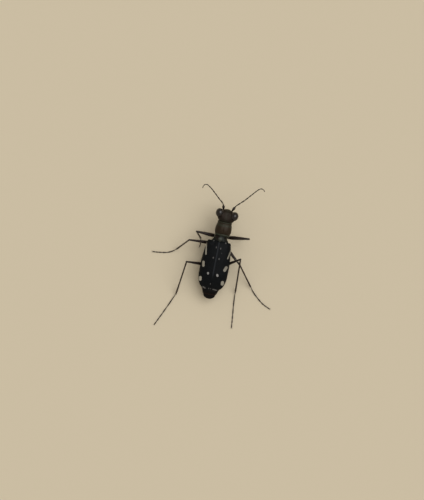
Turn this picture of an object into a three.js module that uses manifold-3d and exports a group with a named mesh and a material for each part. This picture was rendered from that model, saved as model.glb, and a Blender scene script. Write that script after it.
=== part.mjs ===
// A small spotted tiger beetle, life size, standing still with its face turned down.
// Millimetres, +Z up. The head looks along -Y, so the beetle's left side is +X. The feet stand at Z = 0.
import * as THREE from 'three';
import { mergeVertices } from 'three/addons/utils/BufferGeometryUtils.js';
import Module from 'manifold-3d';

const wasm = await Module();
wasm.setup();

// Thin cuts between neighbours, and the facets round each kind of piece
const cut = 0.04;
const elytraSides = 24;
const trunkSides = 20;
const limbSides = 8;

// Trunk: the elytra's edge plane lies in its XY plane and the suture starts at its origin
const trunkHeight = 3.05;
const trunkPitch = THREE.MathUtils.degToRad(8);
const elytraFront = 0.06;
const elytraRear = 6.42;
const elytraEdgeDepth = 0.06;
const metathoraxRear = 3.0;
const abdomenRear = 7.56;
const waistFront = -0.62;
const prothoraxPlace = [-0.19, -1.48, 0.02];
const prothoraxYaw = THREE.MathUtils.degToRad(-1.5);
const collarFront = -0.98;
const prothoraxRear = 0.81;
const pleuralLine = -0.2;
const headPlace = [-0.22, -2.33, 0.05];
const headYaw = THREE.MathUtils.degToRad(-4);
const headLength = 1.64;
const neckRear = -0.22;

// Head fittings, in the head's own frame
const eyeCentre = [0.94, -1.1, 0.26];
const eyeRadii = [0.5, 0.57, 0.53];
const labrumWidth = 0.96;
const labrumLength = 0.46;
const labrumThickness = 0.14;

// Half thickness of legs and feelers
const limbRadius = 0.25;
const kneeRadius = 0.28;
const feelerRadius = 0.25;

const colours = {
  elytra: { color: 0x161718, roughness: 0.55, metalness: 0.1 },
  bronze: { color: 0x33291f, roughness: 0.45, metalness: 0.35 },
  belly: { color: 0x14100e, roughness: 0.4, metalness: 0.3 },
  rump: { color: 0x1f0f08, roughness: 0.45, metalness: 0.1 },
  eye: { color: 0x2c2629, roughness: 0.25, metalness: 0 },
  ivory: { color: 0xb9ad8c, roughness: 0.4, metalness: 0 },
  leg: { color: 0x1e1009, roughness: 0.45, metalness: 0.2 },
};

const along = (points) => points.map((p) => new THREE.Vector3(...p));

// A smooth graph through a few [place, size] stations
function graph(stations) {
  const places = stations.map(([place]) => place);
  const sizes = stations.map(([, size]) => size);
  const smooth = new THREE.CubicInterpolant(places, sizes, 1, []);
  return (place) => smooth.evaluate(THREE.MathUtils.clamp(place, places[0], places.at(-1)))[0];
}

function weld(geometry) {
  const bare = geometry.clone();
  bare.deleteAttribute('normal');
  bare.deleteAttribute('uv');
  return mergeVertices(bare, 1e-4);
}

function solidOf(geometry) {
  const welded = weld(geometry);
  return new wasm.Manifold(new wasm.Mesh({
    numProp: 3,
    vertProperties: new Float32Array(welded.attributes.position.array),
    triVerts: new Uint32Array(welded.index.array),
  }));
}

function geometryOf(solid) {
  const mesh = solid.getMesh();
  const geometry = new THREE.BufferGeometry();
  geometry.setAttribute('position', new THREE.Float32BufferAttribute(mesh.vertProperties, 3));
  geometry.setIndex(Array.from(mesh.triVerts));
  return geometry;
}

// The same shape, larger by a gap on every side
function grown(geometry, gap) {
  const welded = weld(geometry);
  welded.computeVertexNormals();
  const place = welded.attributes.position;
  const normal = welded.attributes.normal;
  for (let i = 0; i < place.count; i += 1) {
    const x = place.getX(i) + normal.getX(i) * gap;
    const y = place.getY(i) + normal.getY(i) * gap;
    const z = place.getZ(i) + normal.getZ(i) * gap;
    place.setXYZ(i, x, y, z);
  }
  welded.deleteAttribute('normal');
  return welded;
}

// A closed skin through rings of points that follow each other towards +Y
function skin(rings) {
  const count = rings[0].length;
  const points = rings.flat();
  const faces = [];
  for (let i = 0; i + 1 < rings.length; i += 1) {
    for (let j = 0; j < count; j += 1) {
      const a = i * count + j;
      const b = i * count + ((j + 1) % count);
      faces.push(a, a + count, b, b, a + count, b + count);
    }
  }
  for (const end of [0, rings.length - 1]) {
    const middle = rings[end].reduce((sum, p) => sum.add(p), new THREE.Vector3()).divideScalar(count);
    const centre = points.push(middle) - 1;
    for (let j = 0; j < count; j += 1) {
      const a = end * count + j;
      const b = end * count + ((j + 1) % count);
      faces.push(centre, end ? b : a, end ? a : b);
    }
  }
  const geometry = new THREE.BufferGeometry().setFromPoints(points);
  geometry.setIndex(faces);
  return geometry;
}

// A stretch of trunk between two places along Y, from its half width, its top and its underside
function stretch({
  from, to, steps, halfWidth, top, bottom, middle = () => 0, power = () => 2.3, sides = trunkSides,
}) {
  const rings = [];
  for (let i = 0; i <= steps; i += 1) {
    const share = (1 - Math.cos((Math.PI * i) / steps)) / 2;
    const y = THREE.MathUtils.lerp(from, to, (share + i / steps) / 2);
    const ring = [];
    for (let j = 0; j < sides; j += 1) {
      const turn = (2 * Math.PI * (j + 0.5)) / sides;
      const bend = 2 / power(Math.sin(turn));
      const across = Math.sign(Math.cos(turn)) * Math.abs(Math.cos(turn)) ** bend;
      const upward = Math.abs(Math.sin(turn)) ** bend;
      const reach = Math.sin(turn) > 0 ? top(y) - middle(y) : bottom(y) - middle(y);
      ring.push(new THREE.Vector3(across * halfWidth(y), y, middle(y) + upward * reach));
    }
    rings.push(ring);
  }
  return skin(rings);
}

// A round limb along +Y from 0 to its length, with a rounded end past each joint
function limbGeometry(length, stations) {
  const first = stations[0][1];
  const last = stations.at(-1)[1];
  const diagonal = Math.SQRT1_2;
  const profile = [
    [0, -first],
    [diagonal * first, -diagonal * first],
    ...stations.map(([share, radius]) => [radius, share * length]),
    [diagonal * last, length + diagonal * last],
    [0, length + last],
  ];
  return new THREE.LatheGeometry(profile.map(([r, y]) => new THREE.Vector2(r, y)), limbSides);
}

// Evenly spaced stations that taper from one radius to another
function evenly(count, from, to) {
  return Array.from({ length: count }, (_, i) => {
    const share = i / (count - 1);
    return [share, THREE.MathUtils.lerp(from, to, share)];
  });
}

// Bends a limb that stands along +Y so that it follows a curve
function bent(geometry, curve, upward) {
  const length = curve.getLength();
  const shape = weld(geometry);
  const place = shape.attributes.position;
  for (let i = 0; i < place.count; i += 1) {
    const travel = place.getY(i);
    const share = THREE.MathUtils.clamp(travel / length, 0, 1);
    const tangent = curve.getTangentAt(share);
    const side = new THREE.Vector3().crossVectors(tangent, upward).normalize();
    const over = new THREE.Vector3().crossVectors(side, tangent);
    const point = curve.getPointAt(share)
      .addScaledVector(tangent, travel - share * length)
      .addScaledVector(side, place.getX(i))
      .addScaledVector(over, place.getZ(i));
    place.setXYZ(i, point.x, point.y, point.z);
  }
  return shape;
}

const beetle = new THREE.Group();

function addPiece(parent, name, geometry, finish) {
  const mesh = new THREE.Mesh(geometry, new THREE.MeshStandardMaterial(finish));
  mesh.name = name;
  parent.add(mesh);
  return mesh;
}

// A straight limb from one joint to the next
function addLimb(parent, name, from, to, stations, finish) {
  const start = new THREE.Vector3(...from);
  const reach = new THREE.Vector3(...to).sub(start);
  const mesh = addPiece(parent, name, limbGeometry(reach.length(), stations), finish);
  mesh.position.copy(start);
  mesh.quaternion.setFromUnitVectors(new THREE.Vector3(0, 1, 0), reach.normalize());
  return mesh;
}

// The main body of a solid, without the crumbs that a cut can leave
function mainBody(solid) {
  return solid.decompose().reduce((best, body) => (body.volume() > best.volume() ? body : best));
}

// Cuts the guest's place, and a gap round it, out of the host where the two meet
function carve(host, guest) {
  beetle.updateMatrixWorld(true);
  const intoHost = host.matrixWorld.clone().invert().multiply(guest.matrixWorld);
  const whole = solidOf(host.geometry);
  const tool = solidOf(grown(guest.geometry, cut).applyMatrix4(intoHost));
  if (whole.intersect(tool).isEmpty()) return;
  host.geometry = geometryOf(mainBody(whole.subtract(tool)));
}

// Cuts a plain block out of a mesh, the block's centre and size given in the mesh's own frame
function cutBlock(mesh, centre, size) {
  const block = new THREE.BoxGeometry(...size).translate(...centre);
  mesh.geometry = geometryOf(solidOf(mesh.geometry).subtract(solidOf(block)));
}

const trunk = new THREE.Group();
trunk.position.z = trunkHeight;
trunk.rotation.x = -trunkPitch;
beetle.add(trunk);

// Elytra: a domed lid, split along the suture
const elytraShape = {
  from: elytraFront,
  to: elytraRear,
  steps: 15,
  sides: elytraSides,
  halfWidth: graph([
    [0.06, 1.28], [0.3, 1.45], [0.65, 1.55], [1.5, 1.68], [3.2, 1.82], [4.6, 1.79],
    [5.3, 1.68], [5.85, 1.4], [6.2, 1.02], [6.42, 0.52],
  ]),
  top: graph([
    [0.06, 0.6], [0.35, 0.8], [1, 0.95], [2.4, 1.06], [4, 1.06], [5.1, 0.84],
    [5.8, 0.52], [6.15, 0.3], [6.42, 0.1],
  ]),
  bottom: () => -elytraEdgeDepth,
  power: (height) => (height > 0 ? 2.25 : 6),
};

// Large enough to take away the whole other half
const elytronBlock = [6, 8, 4];

function addElytron(name, side) {
  const mesh = addPiece(trunk, name, stretch(elytraShape), colours.elytra);
  const [blockWidth, blockLength] = elytronBlock;
  cutBlock(mesh, [-side * (blockWidth - cut) / 2, blockLength / 2 - 1, 0], elytronBlock);
  return mesh;
}

const elytra = { left: addElytron('elytron_left', 1), right: addElytron('elytron_right', -1) };

// Prothorax: one barrel, parted along the side into the back plate and the breast plate
const prothorax = new THREE.Group();
prothorax.position.set(...prothoraxPlace);
prothorax.rotation.z = prothoraxYaw;
trunk.add(prothorax);

const barrel = {
  from: collarFront,
  to: prothoraxRear,
  steps: 11,
  halfWidth: graph([[-0.98, 0.88], [-0.6, 0.93], [-0.1, 1.01], [0.2, 1.02], [0.6, 0.94], [0.81, 0.86]]),
  top: graph([[-0.98, 0.68], [-0.6, 0.77], [0, 0.855], [0.45, 0.78], [0.81, 0.66]]),
  bottom: graph([[-0.98, -0.62], [0, -0.81], [0.81, -0.74]]),
};
const barrelBlock = [3, 3, 2];
const pronotum = addPiece(prothorax, 'pronotum', stretch(barrel), colours.bronze);
cutBlock(pronotum, [0, 0, pleuralLine - barrelBlock[2] / 2], barrelBlock);
const prosternum = addPiece(prothorax, 'prosternum', stretch(barrel), colours.belly);
cutBlock(prosternum, [0, 0, pleuralLine + barrelBlock[2] / 2 - cut], barrelBlock);

// Waist: the narrow mesothorax between the back plate and the elytra
const mesothorax = addPiece(trunk, 'mesothorax', stretch({
  from: waistFront,
  to: elytraFront - cut,
  steps: 5,
  halfWidth: graph([[-0.62, 0.7], [-0.4, 0.8], [-0.1, 0.92], [0.02, 1.04]]),
  top: graph([[-0.62, 0.5], [0.02, 0.56]]),
  bottom: graph([[-0.62, -0.7], [0.02, -1.15]]),
}), colours.bronze);
mesothorax.position.x = -0.06;

// Underside of the hind body, below the elytra's edge
const underEdge = () => -elytraEdgeDepth - cut;
const metathorax = addPiece(trunk, 'metathorax', stretch({
  from: elytraFront,
  to: metathoraxRear - cut / 2,
  steps: 6,
  halfWidth: graph([[0.06, 1.1], [0.6, 1.34], [1.8, 1.52], [3, 1.56]]),
  top: underEdge,
  bottom: graph([[0.06, -1.2], [0.8, -1.42], [2.2, -1.45], [3, -1.38]]),
  middle: () => -0.4,
  power: (height) => (height > 0 ? 6 : 2.3),
}), colours.belly);

// Abdomen: each ring of plates is a little wider at its rear edge
const ringLength = 0.72;
const ringStep = 0.035;
const ringRise = (y) => ringStep * ((((y - metathoraxRear) / ringLength) % 1) - 0.5);
const abdomenWidth = graph([
  [3, 1.56], [4.6, 1.58], [5.5, 1.42], [6.3, 1.08], [6.9, 0.87], [7.25, 0.72], [7.56, 0.42],
]);
const abdomenTop = graph([[3, -0.1], [6.4, -0.1], [7, -0.16], [7.56, -0.38]]);
const abdomenBottom = graph([[3, -1.36], [4.4, -1.34], [5.6, -1.16], [6.6, -0.92], [7.56, -0.6]]);
const abdomen = addPiece(trunk, 'abdomen', stretch({
  from: metathoraxRear + cut / 2,
  to: abdomenRear,
  steps: 12,
  halfWidth: (y) => abdomenWidth(y) + ringRise(y),
  top: abdomenTop,
  bottom: (y) => abdomenBottom(y) - ringRise(y),
  middle: graph([[3, -0.4], [7.56, -0.49]]),
  power: (height) => (height > 0 ? 3.4 : 2.2),
}), colours.rump);

// Scutellum: the small triangular plate between the elytra's bases
const scutellumHalfWidth = 0.3;
const scutellumLength = 0.62;
const scutellumThickness = 0.1;
const plate = new THREE.Shape();
plate.moveTo(-scutellumHalfWidth, 0);
plate.quadraticCurveTo(0, -0.12, scutellumHalfWidth, 0);
plate.quadraticCurveTo(0.16, 0.3, 0, scutellumLength);
plate.quadraticCurveTo(-0.16, 0.3, -scutellumHalfWidth, 0);
const scutellum = addPiece(trunk, 'scutellum', new THREE.ExtrudeGeometry(plate, {
  depth: scutellumThickness, bevelEnabled: false, curveSegments: 4,
}), colours.bronze);
scutellum.position.set(-0.03, -0.42, 0.5);
scutellum.rotation.x = 0.1;
carve(mesothorax, scutellum);
carve(elytra.left, scutellum);
carve(elytra.right, scutellum);

// Head capsule, from the neck at the origin forward to the face
const head = new THREE.Group();
head.position.set(...headPlace);
head.rotation.z = headYaw;
trunk.add(head);
const capsule = addPiece(head, 'head', stretch({
  from: -headLength,
  to: neckRear,
  steps: 10,
  halfWidth: graph([
    [-1.64, 0.42], [-1.54, 0.6], [-1.3, 0.76], [-1.05, 0.86], [-0.8, 0.99], [-0.6, 1.05], [-0.42, 1.03],
    [-0.22, 0.92],
  ]),
  top: graph([[-1.64, 0.14], [-1.56, 0.36], [-1.36, 0.6], [-1, 0.7], [-0.5, 0.7], [-0.22, 0.62]]),
  bottom: graph([[-1.64, -0.44], [-1.54, -0.62], [-1.25, -0.76], [-0.8, -0.76], [-0.22, -0.62]]),
  power: () => 2.5,
}), colours.bronze);

function addEye(name, side) {
  const ball = new THREE.SphereGeometry(1, 12, 8).scale(...eyeRadii);
  const eye = addPiece(head, name, ball, colours.eye);
  eye.position.set(side * eyeCentre[0], eyeCentre[1], eyeCentre[2]);
  carve(capsule, eye);
  return eye;
}

const eyes = { left: addEye('eye_left', 1), right: addEye('eye_right', -1) };

// Labrum: the upper lip, three-toothed, tucked in under the face
const lip = new THREE.Shape();
const lipHalf = labrumWidth / 2;
lip.moveTo(-lipHalf, 0);
lip.lineTo(lipHalf, 0);
lip.quadraticCurveTo(lipHalf * 1.04, -0.25, lipHalf * 0.62, -0.34);
lip.lineTo(0.2, -0.37);
lip.lineTo(0, -labrumLength);
lip.lineTo(-0.2, -0.37);
lip.lineTo(-lipHalf * 0.62, -0.34);
lip.quadraticCurveTo(-lipHalf * 1.04, -0.25, -lipHalf, 0);
const labrum = addPiece(head, 'labrum', new THREE.ExtrudeGeometry(lip, {
  depth: labrumThickness, bevelEnabled: false, curveSegments: 4,
}), colours.ivory);
labrum.position.set(0, -1.44, -0.46);
labrum.rotation.x = 1.12;
carve(capsule, labrum);

// Mandibles: curved, tapering jaws that close below the lip
function addMandible(name, side, tipPlace) {
  const curve = new THREE.CatmullRomCurve3(along([
    [side * 0.4, -1.14, -0.74],
    [side * 0.52, -1.32, -0.98],
    [side * 0.46, -1.38, -1.28],
    tipPlace,
  ]));
  const taper = [[0, 0.19], [0.35, 0.17], [0.7, 0.12], [1, 0.05]];
  const shape = bent(limbGeometry(curve.getLength(), taper), curve, new THREE.Vector3(0, -1, 0.3));
  const mandible = addPiece(head, name, shape, colours.leg);
  carve(mandible, capsule);
  carve(mandible, labrum);
}

addMandible('mandible_left', 1, [0.1, -1.34, -1.54]);
addMandible('mandible_right', -1, [-0.1, -1.3, -1.52]);

// Palps: the short jointed feelers behind the jaws
function addPalp(name, side) {
  const curve = new THREE.CatmullRomCurve3(along([
    [side * 0.36, -0.64, -0.72],
    [side * 0.5, -0.78, -1.08],
    [side * 0.5, -0.86, -1.38],
    [side * 0.42, -0.91, -1.64],
  ]));
  const taper = [[0, 0.2], [0.5, 0.22], [1, 0.2]];
  const shape = bent(limbGeometry(curve.getLength(), taper), curve, new THREE.Vector3(0, -1, 0.3));
  const palp = addPiece(head, name, shape, colours.leg);
  carve(palp, capsule);
}

addPalp('palp_left', 1);
addPalp('palp_right', -1);

// Antennae: eleven joints in life, here a thick scape and two lengths of feeler
const antennaRoutes = {
  left: [
    [0.3, -3.86, 3.58], [0.32, -4.14, 3.76], [0.49, -4.59, 4.05], [1.12, -5.14, 4.45], [2, -5.94, 4.92],
    [2.47, -6.3, 5.08], [2.81, -6.5, 5.14], [3.09, -6.46, 5.12], [3.28, -6.24, 5.05], [3.32, -5.98, 4.96],
  ],
  right: [
    [-0.82, -3.86, 3.58], [-0.94, -4.14, 3.76], [-1.2, -4.58, 4], [-1.53, -4.92, 4.2], [-2.09, -5.45, 4.5],
    [-2.83, -6.29, 4.95], [-3.44, -6.98, 5.24], [-3.8, -7.24, 5.3], [-4.12, -7.2, 5.28], [-4.34, -6.98, 5.2],
  ],
};
const scapeShare = 0.13;
const innerShare = 0.55;

// The part of a curve between two shares of its length
function pieceOf(curve, from, to, count = 7) {
  const points = [];
  for (let i = 0; i <= count; i += 1) {
    points.push(curve.getPointAt(THREE.MathUtils.lerp(from, to, i / count)));
  }
  return new THREE.CatmullRomCurve3(points);
}

for (const [side, route] of Object.entries(antennaRoutes)) {
  const whole = new THREE.CatmullRomCurve3(along(route));
  const lengths = [
    [`antenna_${side}_scape`, 0, scapeShare, [[0, 0.22], [0.6, 0.29], [1, 0.25]]],
    [`antenna_${side}_inner`, scapeShare, innerShare, evenly(5, feelerRadius, feelerRadius)],
    [`antenna_${side}_outer`, innerShare, 1, evenly(8, feelerRadius, 0.2)],
  ];
  let before = capsule;
  for (const [name, from, to, taper] of lengths) {
    const curve = pieceOf(whole, from, to);
    const shape = bent(limbGeometry(curve.getLength(), taper), curve, new THREE.Vector3(0, 0, 1));
    const piece = addPiece(beetle, name, shape, colours.leg);
    carve(piece, before);
    if (before === capsule) carve(piece, eyes[side]);
    before = piece;
  }
}

// Legs: where each joint is in the standing pose, and the way of each foot along the floor
const footHeight = 0.2;
const floorBlock = [30, 30, 2];
const legs = {
  front_left: {
    root: [0.16, -0.98, 2.42],
    hip: [0.3, -0.46, 1.76],
    knee: [3.02, -0.56, 3.34],
    ankle: [2.38, 0.18, 1.3],
    foot: [[2.31, 0.5, 0.72], [2.29, 0.86, 0.3], [2.32, 1.12, footHeight], [2.36, 1.34, footHeight]],
  },
  front_right: {
    root: [-0.56, -1, 2.42],
    hip: [-0.7, -0.52, 1.76],
    knee: [-3.57, -0.86, 3.0],
    ankle: [-2.1, -0.66, 1.22],
    foot: [[-2.5, -0.7, 0.72], [-2.94, -0.76, 0.3], [-3.24, -0.82, footHeight], [-3.49, -0.86, footHeight]],
  },
  mid_left: {
    root: [0.5, 0.52, 1.85],
    hip: [0.58, 0.45, 1.36],
    knee: [3.75, 0.66, 3.25],
    ankle: [5.12, 2.1, 0.4],
    foot: [[5.55, 2.43, 0.25], [6.19, 2.72, footHeight], [7.2, 2.9, footHeight], [8.14, 2.98, footHeight]],
  },
  mid_right: {
    root: [-0.5, 0.52, 1.85],
    hip: [-0.58, 0.36, 1.36],
    knee: [-3.09, 2.57, 2.22],
    ankle: [-4.95, 5, 0.4],
    foot: [[-5.35, 5.5, 0.25], [-5.9, 6.06, footHeight], [-6.9, 6.84, footHeight], [-8, 7.34, footHeight]],
  },
  hind_left: {
    root: [0.72, 2.72, 1.58],
    hip: [0.62, 3.24, 1.16],
    knee: [3.55, 3.39, 3.5],
    ankle: [4.11, 7.64, 0.4],
    foot: [[4.36, 8.2, 0.25], [4.75, 9.1, footHeight], [5.45, 10.65, footHeight], [6.16, 12.16, footHeight]],
  },
  hind_right: {
    root: [-0.72, 2.72, 1.58],
    hip: [-0.62, 3.32, 1.16],
    knee: [-3.01, 1.83, 3.6],
    ankle: [-3.18, 6.06, 0.4],
    foot: [[-3.21, 6.7, 0.25], [-3.27, 7.6, footHeight], [-3.42, 9, footHeight], [-3.59, 10.74, footHeight]],
  },
};

const coxaTaper = [[0.1, 0.33], [0.9, 0.3]];
const femurTaper = [[0, 0.22], [0.14, 0.28], [0.4, 0.27], [0.8, limbRadius], [1, kneeRadius]];
const tibiaTaper = [[0, 0.24], [0.1, limbRadius], [0.9, limbRadius], [1, 0.26]];
const footTaper = evenly(6, limbRadius, limbRadius - 0.02);

function addLeg(place, { root, hip, knee, ankle, foot }) {
  const leg = new THREE.Group();
  beetle.add(leg);
  const coxa = addLimb(leg, `${place}_coxa`, root, hip, coxaTaper, colours.leg);
  const femur = addLimb(leg, `${place}_femur`, hip, knee, femurTaper, colours.leg);
  const tibia = addLimb(leg, `${place}_tibia`, knee, ankle, tibiaTaper, colours.leg);
  const curve = new THREE.CatmullRomCurve3(along([ankle, ...foot]));
  const tarsusShape = bent(limbGeometry(curve.getLength(), footTaper), curve, new THREE.Vector3(0, 0, 1));
  const tarsus = addPiece(leg, `${place}_tarsus`, tarsusShape, colours.leg);
  carve(femur, coxa);
  carve(tibia, femur);
  carve(tarsus, tibia);
  cutBlock(tarsus, [ankle[0], ankle[1], -floorBlock[2] / 2], floorBlock);
  return { coxa, femur };
}

const built = {};
Object.entries(legs).forEach(([place, joints]) => {
  built[place] = addLeg(place, joints);
});

// Sockets for the coxae, and the room that a leg needs under the body
for (const side of ['left', 'right']) {
  carve(prosternum, built[`front_${side}`].coxa);
  carve(mesothorax, built[`front_${side}`].coxa);
  for (const pair of ['mid', 'hind']) {
    for (const joint of Object.values(built[`${pair}_${side}`])) {
      [mesothorax, metathorax, abdomen].forEach((host) => carve(host, joint));
    }
  }
}

// The origin goes below the middle of the whole model, on the floor
beetle.updateMatrixWorld(true);
const extent = new THREE.Box3().setFromObject(beetle, true);
const centre = extent.getCenter(new THREE.Vector3());
beetle.position.set(-centre.x, -centre.y, 0);
beetle.updateMatrixWorld(true);

export default beetle;
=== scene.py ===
# A small spotted tiger beetle, life size, standing still with its face turned down.
# Pieces are worked in millimetres, in the frame that their solids were drawn in, and set down in metres.
import math
import random
from bisect import bisect_right

import bpy
from mathutils import Matrix, Vector, noise


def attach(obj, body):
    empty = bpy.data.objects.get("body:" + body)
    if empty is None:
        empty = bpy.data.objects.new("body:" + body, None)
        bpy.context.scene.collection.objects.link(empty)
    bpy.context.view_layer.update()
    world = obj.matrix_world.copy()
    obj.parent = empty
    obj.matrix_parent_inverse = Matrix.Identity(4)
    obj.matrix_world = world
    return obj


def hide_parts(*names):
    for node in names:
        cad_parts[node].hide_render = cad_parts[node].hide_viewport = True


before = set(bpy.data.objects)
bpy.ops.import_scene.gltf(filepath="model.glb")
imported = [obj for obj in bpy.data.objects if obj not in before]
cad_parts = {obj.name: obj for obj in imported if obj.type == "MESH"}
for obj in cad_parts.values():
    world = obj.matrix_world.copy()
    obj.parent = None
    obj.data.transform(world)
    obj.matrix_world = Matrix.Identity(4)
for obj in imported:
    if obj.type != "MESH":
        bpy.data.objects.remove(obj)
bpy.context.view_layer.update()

random.seed(16)
noise.seed_set(16)

# Where the solids stand: the shift centres the whole beetle over the origin
placing = {
    "metresPerMillimetre": 0.001,
    "shift": (-0.0769, -2.4775, 0.0),
    "trunkHeight": 3.05,
    "trunkPitch": 8,
    "prothorax": (-0.19, -1.48, 0.02),
    "prothoraxYaw": 1.5,
    "head": (-0.22, -2.33, 0.05),
    "headYaw": 4,
    "waistShift": -0.06,
}


# A place shifted, then turned by radians about one axis, within another
def setIn(outer, shift, turn, axis="X"):
    return outer @ Matrix.Translation(shift) @ Matrix.Rotation(turn, 4, axis)


toFrame = Matrix.Scale(placing["metresPerMillimetre"], 4) @ Matrix.Translation(placing["shift"])
standing = Matrix.Identity(4)  # legs and feelers are drawn where they stand
trunkPlace = setIn(standing, (0, 0, placing["trunkHeight"]), -math.radians(placing["trunkPitch"]))
prothoraxPlace = setIn(trunkPlace, placing["prothorax"], -math.radians(placing["prothoraxYaw"]), "Z")
headPlace = setIn(trunkPlace, placing["head"], -math.radians(placing["headYaw"]), "Z")


def clamp(value, low=0, high=1):
    return max(low, min(high, value))


# A smooth graph through [place, size] stations that never swings past them
def graph(*stations):
    places, sizes = zip(*stations)
    last = len(places) - 1
    rise = [(sizes[i + 1] - sizes[i]) / (places[i + 1] - places[i]) for i in range(last)]
    slopes = [rise[0]]
    for i in range(1, last):
        agree = rise[i - 1] * rise[i]
        slopes.append(2 * agree / (rise[i - 1] + rise[i]) if agree > 0 else 0)
    slopes.append(rise[-1])

    def sizeAt(place):
        place = clamp(place, places[0], places[-1])
        i = min(bisect_right(places, place) - 1, last - 1)
        width = places[i + 1] - places[i]
        t = (place - places[i]) / width
        start = (1 + 2 * t) * (1 - t) ** 2 * sizes[i] + t * (1 - t) ** 2 * width * slopes[i]
        return start + t * t * (3 - 2 * t) * sizes[i + 1] + t * t * (t - 1) * width * slopes[i + 1]

    return sizeAt


# A rounded hump of height one, round a centre
def hump(value, centre, width):
    return math.exp(-(((value - centre) / width) ** 2))


# Across and upward shares of a rounded-off square outline
def rim(turn, power):
    across = math.copysign(abs(math.cos(turn)) ** (2 / power), math.cos(turn))
    upward = math.copysign(abs(math.sin(turn)) ** (2 / power), math.sin(turn))
    return across, upward


def lerp(low, high, share):
    return low + (high - low) * share


# Press in towards the middle line, only further out than a given distance from it
def inward(x, depth, past=0.3):
    return -math.copysign(depth, x) * (abs(x) > past)


# Share of its full size that a form has along its length; a higher blunt rounds its ends off later
def roundEnds(along, blunt):
    return max(0, 1 - abs(2 * along - 1) ** blunt) ** (1 / blunt)


def clearSelection():
    if bpy.context.object and bpy.context.object.mode != "OBJECT":
        bpy.ops.object.mode_set(mode="OBJECT")
    bpy.ops.object.select_all(action="DESELECT")


def chooseOnly(piece):
    clearSelection()
    piece.select_set(True)
    bpy.context.view_layer.objects.active = piece


def nameActive(name):
    piece = bpy.context.object
    piece.name = piece.data.name = name
    return piece


def startGrid(name, across, along):
    clearSelection()
    bpy.ops.mesh.primitive_grid_add(x_subdivisions=across, y_subdivisions=along, size=2)
    return nameActive(name)


# The primitive lists its faces in an order that changes from run to run, so they are sorted
def startBall(name, sides, rings):
    clearSelection()
    bpy.ops.mesh.primitive_uv_sphere_add(segments=sides, ring_count=rings, radius=1)
    ball = nameActive(name)
    mesh = ball.data
    unwrap = [tuple(corner.uv) for corner in mesh.uv_layers.active.data]
    sheets = []
    for face in mesh.polygons:
        loops = list(zip(face.vertices, [unwrap[i] for i in face.loop_indices]))
        first = loops.index(min(loops))
        sheets.append(loops[first:] + loops[:first])
    sheets.sort()
    corners = [vertex.co.copy() for vertex in mesh.vertices]
    mesh.clear_geometry()
    mesh.from_pydata(corners, [], [[vertex for vertex, place in sheet] for sheet in sheets])
    flat = [value for sheet in sheets for vertex, place in sheet for value in place]
    mesh.uv_layers.new(name="UVMap").data.foreach_set("uv", flat)
    return ball


# How far along a ball a vertex lies, from its first pole to its last
def ballShare(vertex):
    return math.acos(clamp(-vertex.co.z, -1)) / math.pi


# A ball drawn out along +Y, from its half width, top and underside at each place
def drawBody(name, shape, sides=48, rings=64):
    ball = startBall(name, sides, rings)
    for vertex in ball.data.vertices:
        along = (1 - math.cos(math.pi * ballShare(vertex))) / 2
        turn = math.atan2(vertex.co.y, vertex.co.x)
        swell = roundEnds(along, shape["frontBlunt"] if along < 0.5 else shape["rearBlunt"])
        y = lerp(shape["front"], shape["rear"], along)
        across, upward = rim(turn, shape["power"])
        middle = shape["middle"](y)
        reach = (shape["top"](y) - middle) if upward > 0 else (middle - shape["bottom"](y))
        vertex.co = (-across * shape["halfWidth"](y) * swell, y, middle + upward * reach * swell)
    return ball


# Moves each vertex by what a function says of its place
def nudge(piece, moveAt):
    for vertex in piece.data.vertices:
        vertex.co = vertex.co + Vector(moveAt(*vertex.co))
    return piece


# A fine line through a few points, with its running length
def smoothLine(points, steps=12):
    points = [Vector(p) for p in points]
    guides = [2 * points[0] - points[1], *points, 2 * points[-1] - points[-2]]
    fine = []
    for i in range(1, len(guides) - 2):
        a, b, c, d = guides[i - 1:i + 3]
        for step in range(steps):
            t = step / steps
            curve = 2 * b + (c - a) * t + (2 * a - 5 * b + 4 * c - d) * t * t
            fine.append((curve + (3 * b - a - 3 * c + d) * t ** 3) / 2)
    fine.append(points[-1])
    run = [0.0]
    for near, far in zip(fine, fine[1:]):
        run.append(run[-1] + (far - near).length)
    return fine, run


# A route drawn on the left of the body, as a fine line on either side
def mirrorLine(route, side):
    return smoothLine([(side * x, y, z) for x, y, z in route])


# The point at a share of a line's length, and the way it runs there
def followLine(line, share):
    fine, run = line
    goal = clamp(share) * run[-1]
    i = min(bisect_right(run, goal) - 1, len(fine) - 2)
    step = fine[i + 1] - fine[i]
    before = fine[max(i - 1, 0)]
    after = fine[min(i + 2, len(fine) - 1)]
    return fine[i] + step * ((goal - run[i]) / step.length), (after - before).normalized()


# A ball drawn out along part of a line, with a radius for each share of that part
def drawLimb(name, line, radius, span=(0, 1), sides=12, rings=16, blunt=4, flat=1.0, upward=(0, 0, 1)):
    ball = startBall(name, sides, rings)
    frames = {}
    for vertex in ball.data.vertices:
        ring = round(ballShare(vertex) * rings)
        if ring not in frames:
            along = (1 - math.cos(math.pi * ring / rings)) / 2
            point, way = followLine(line, lerp(*span, along))
            side = way.cross(Vector(upward)).normalized()
            size = radius(along) * roundEnds(along, blunt)
            frames[ring] = point, side, side.cross(way), size
        point, side, over, size = frames[ring]
        turn = math.atan2(vertex.co.y, vertex.co.x)
        vertex.co = point + side * (-math.cos(turn) * size) + over * (math.sin(turn) * size * flat)
    return ball


def joinPieces(name, parts):
    clearSelection()
    for part in parts:
        part.select_set(True)
    bpy.context.view_layer.objects.active = parts[0]
    if len(parts) > 1:
        bpy.ops.object.join()
    return nameActive(name)


def applyModifier(piece, kind, **settings):
    chooseOnly(piece)
    modifier = piece.modifiers.new(kind.title(), kind)
    for setting, value in settings.items():
        setattr(modifier, setting, value)
    bpy.ops.object.modifier_apply(modifier=modifier.name)


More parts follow.
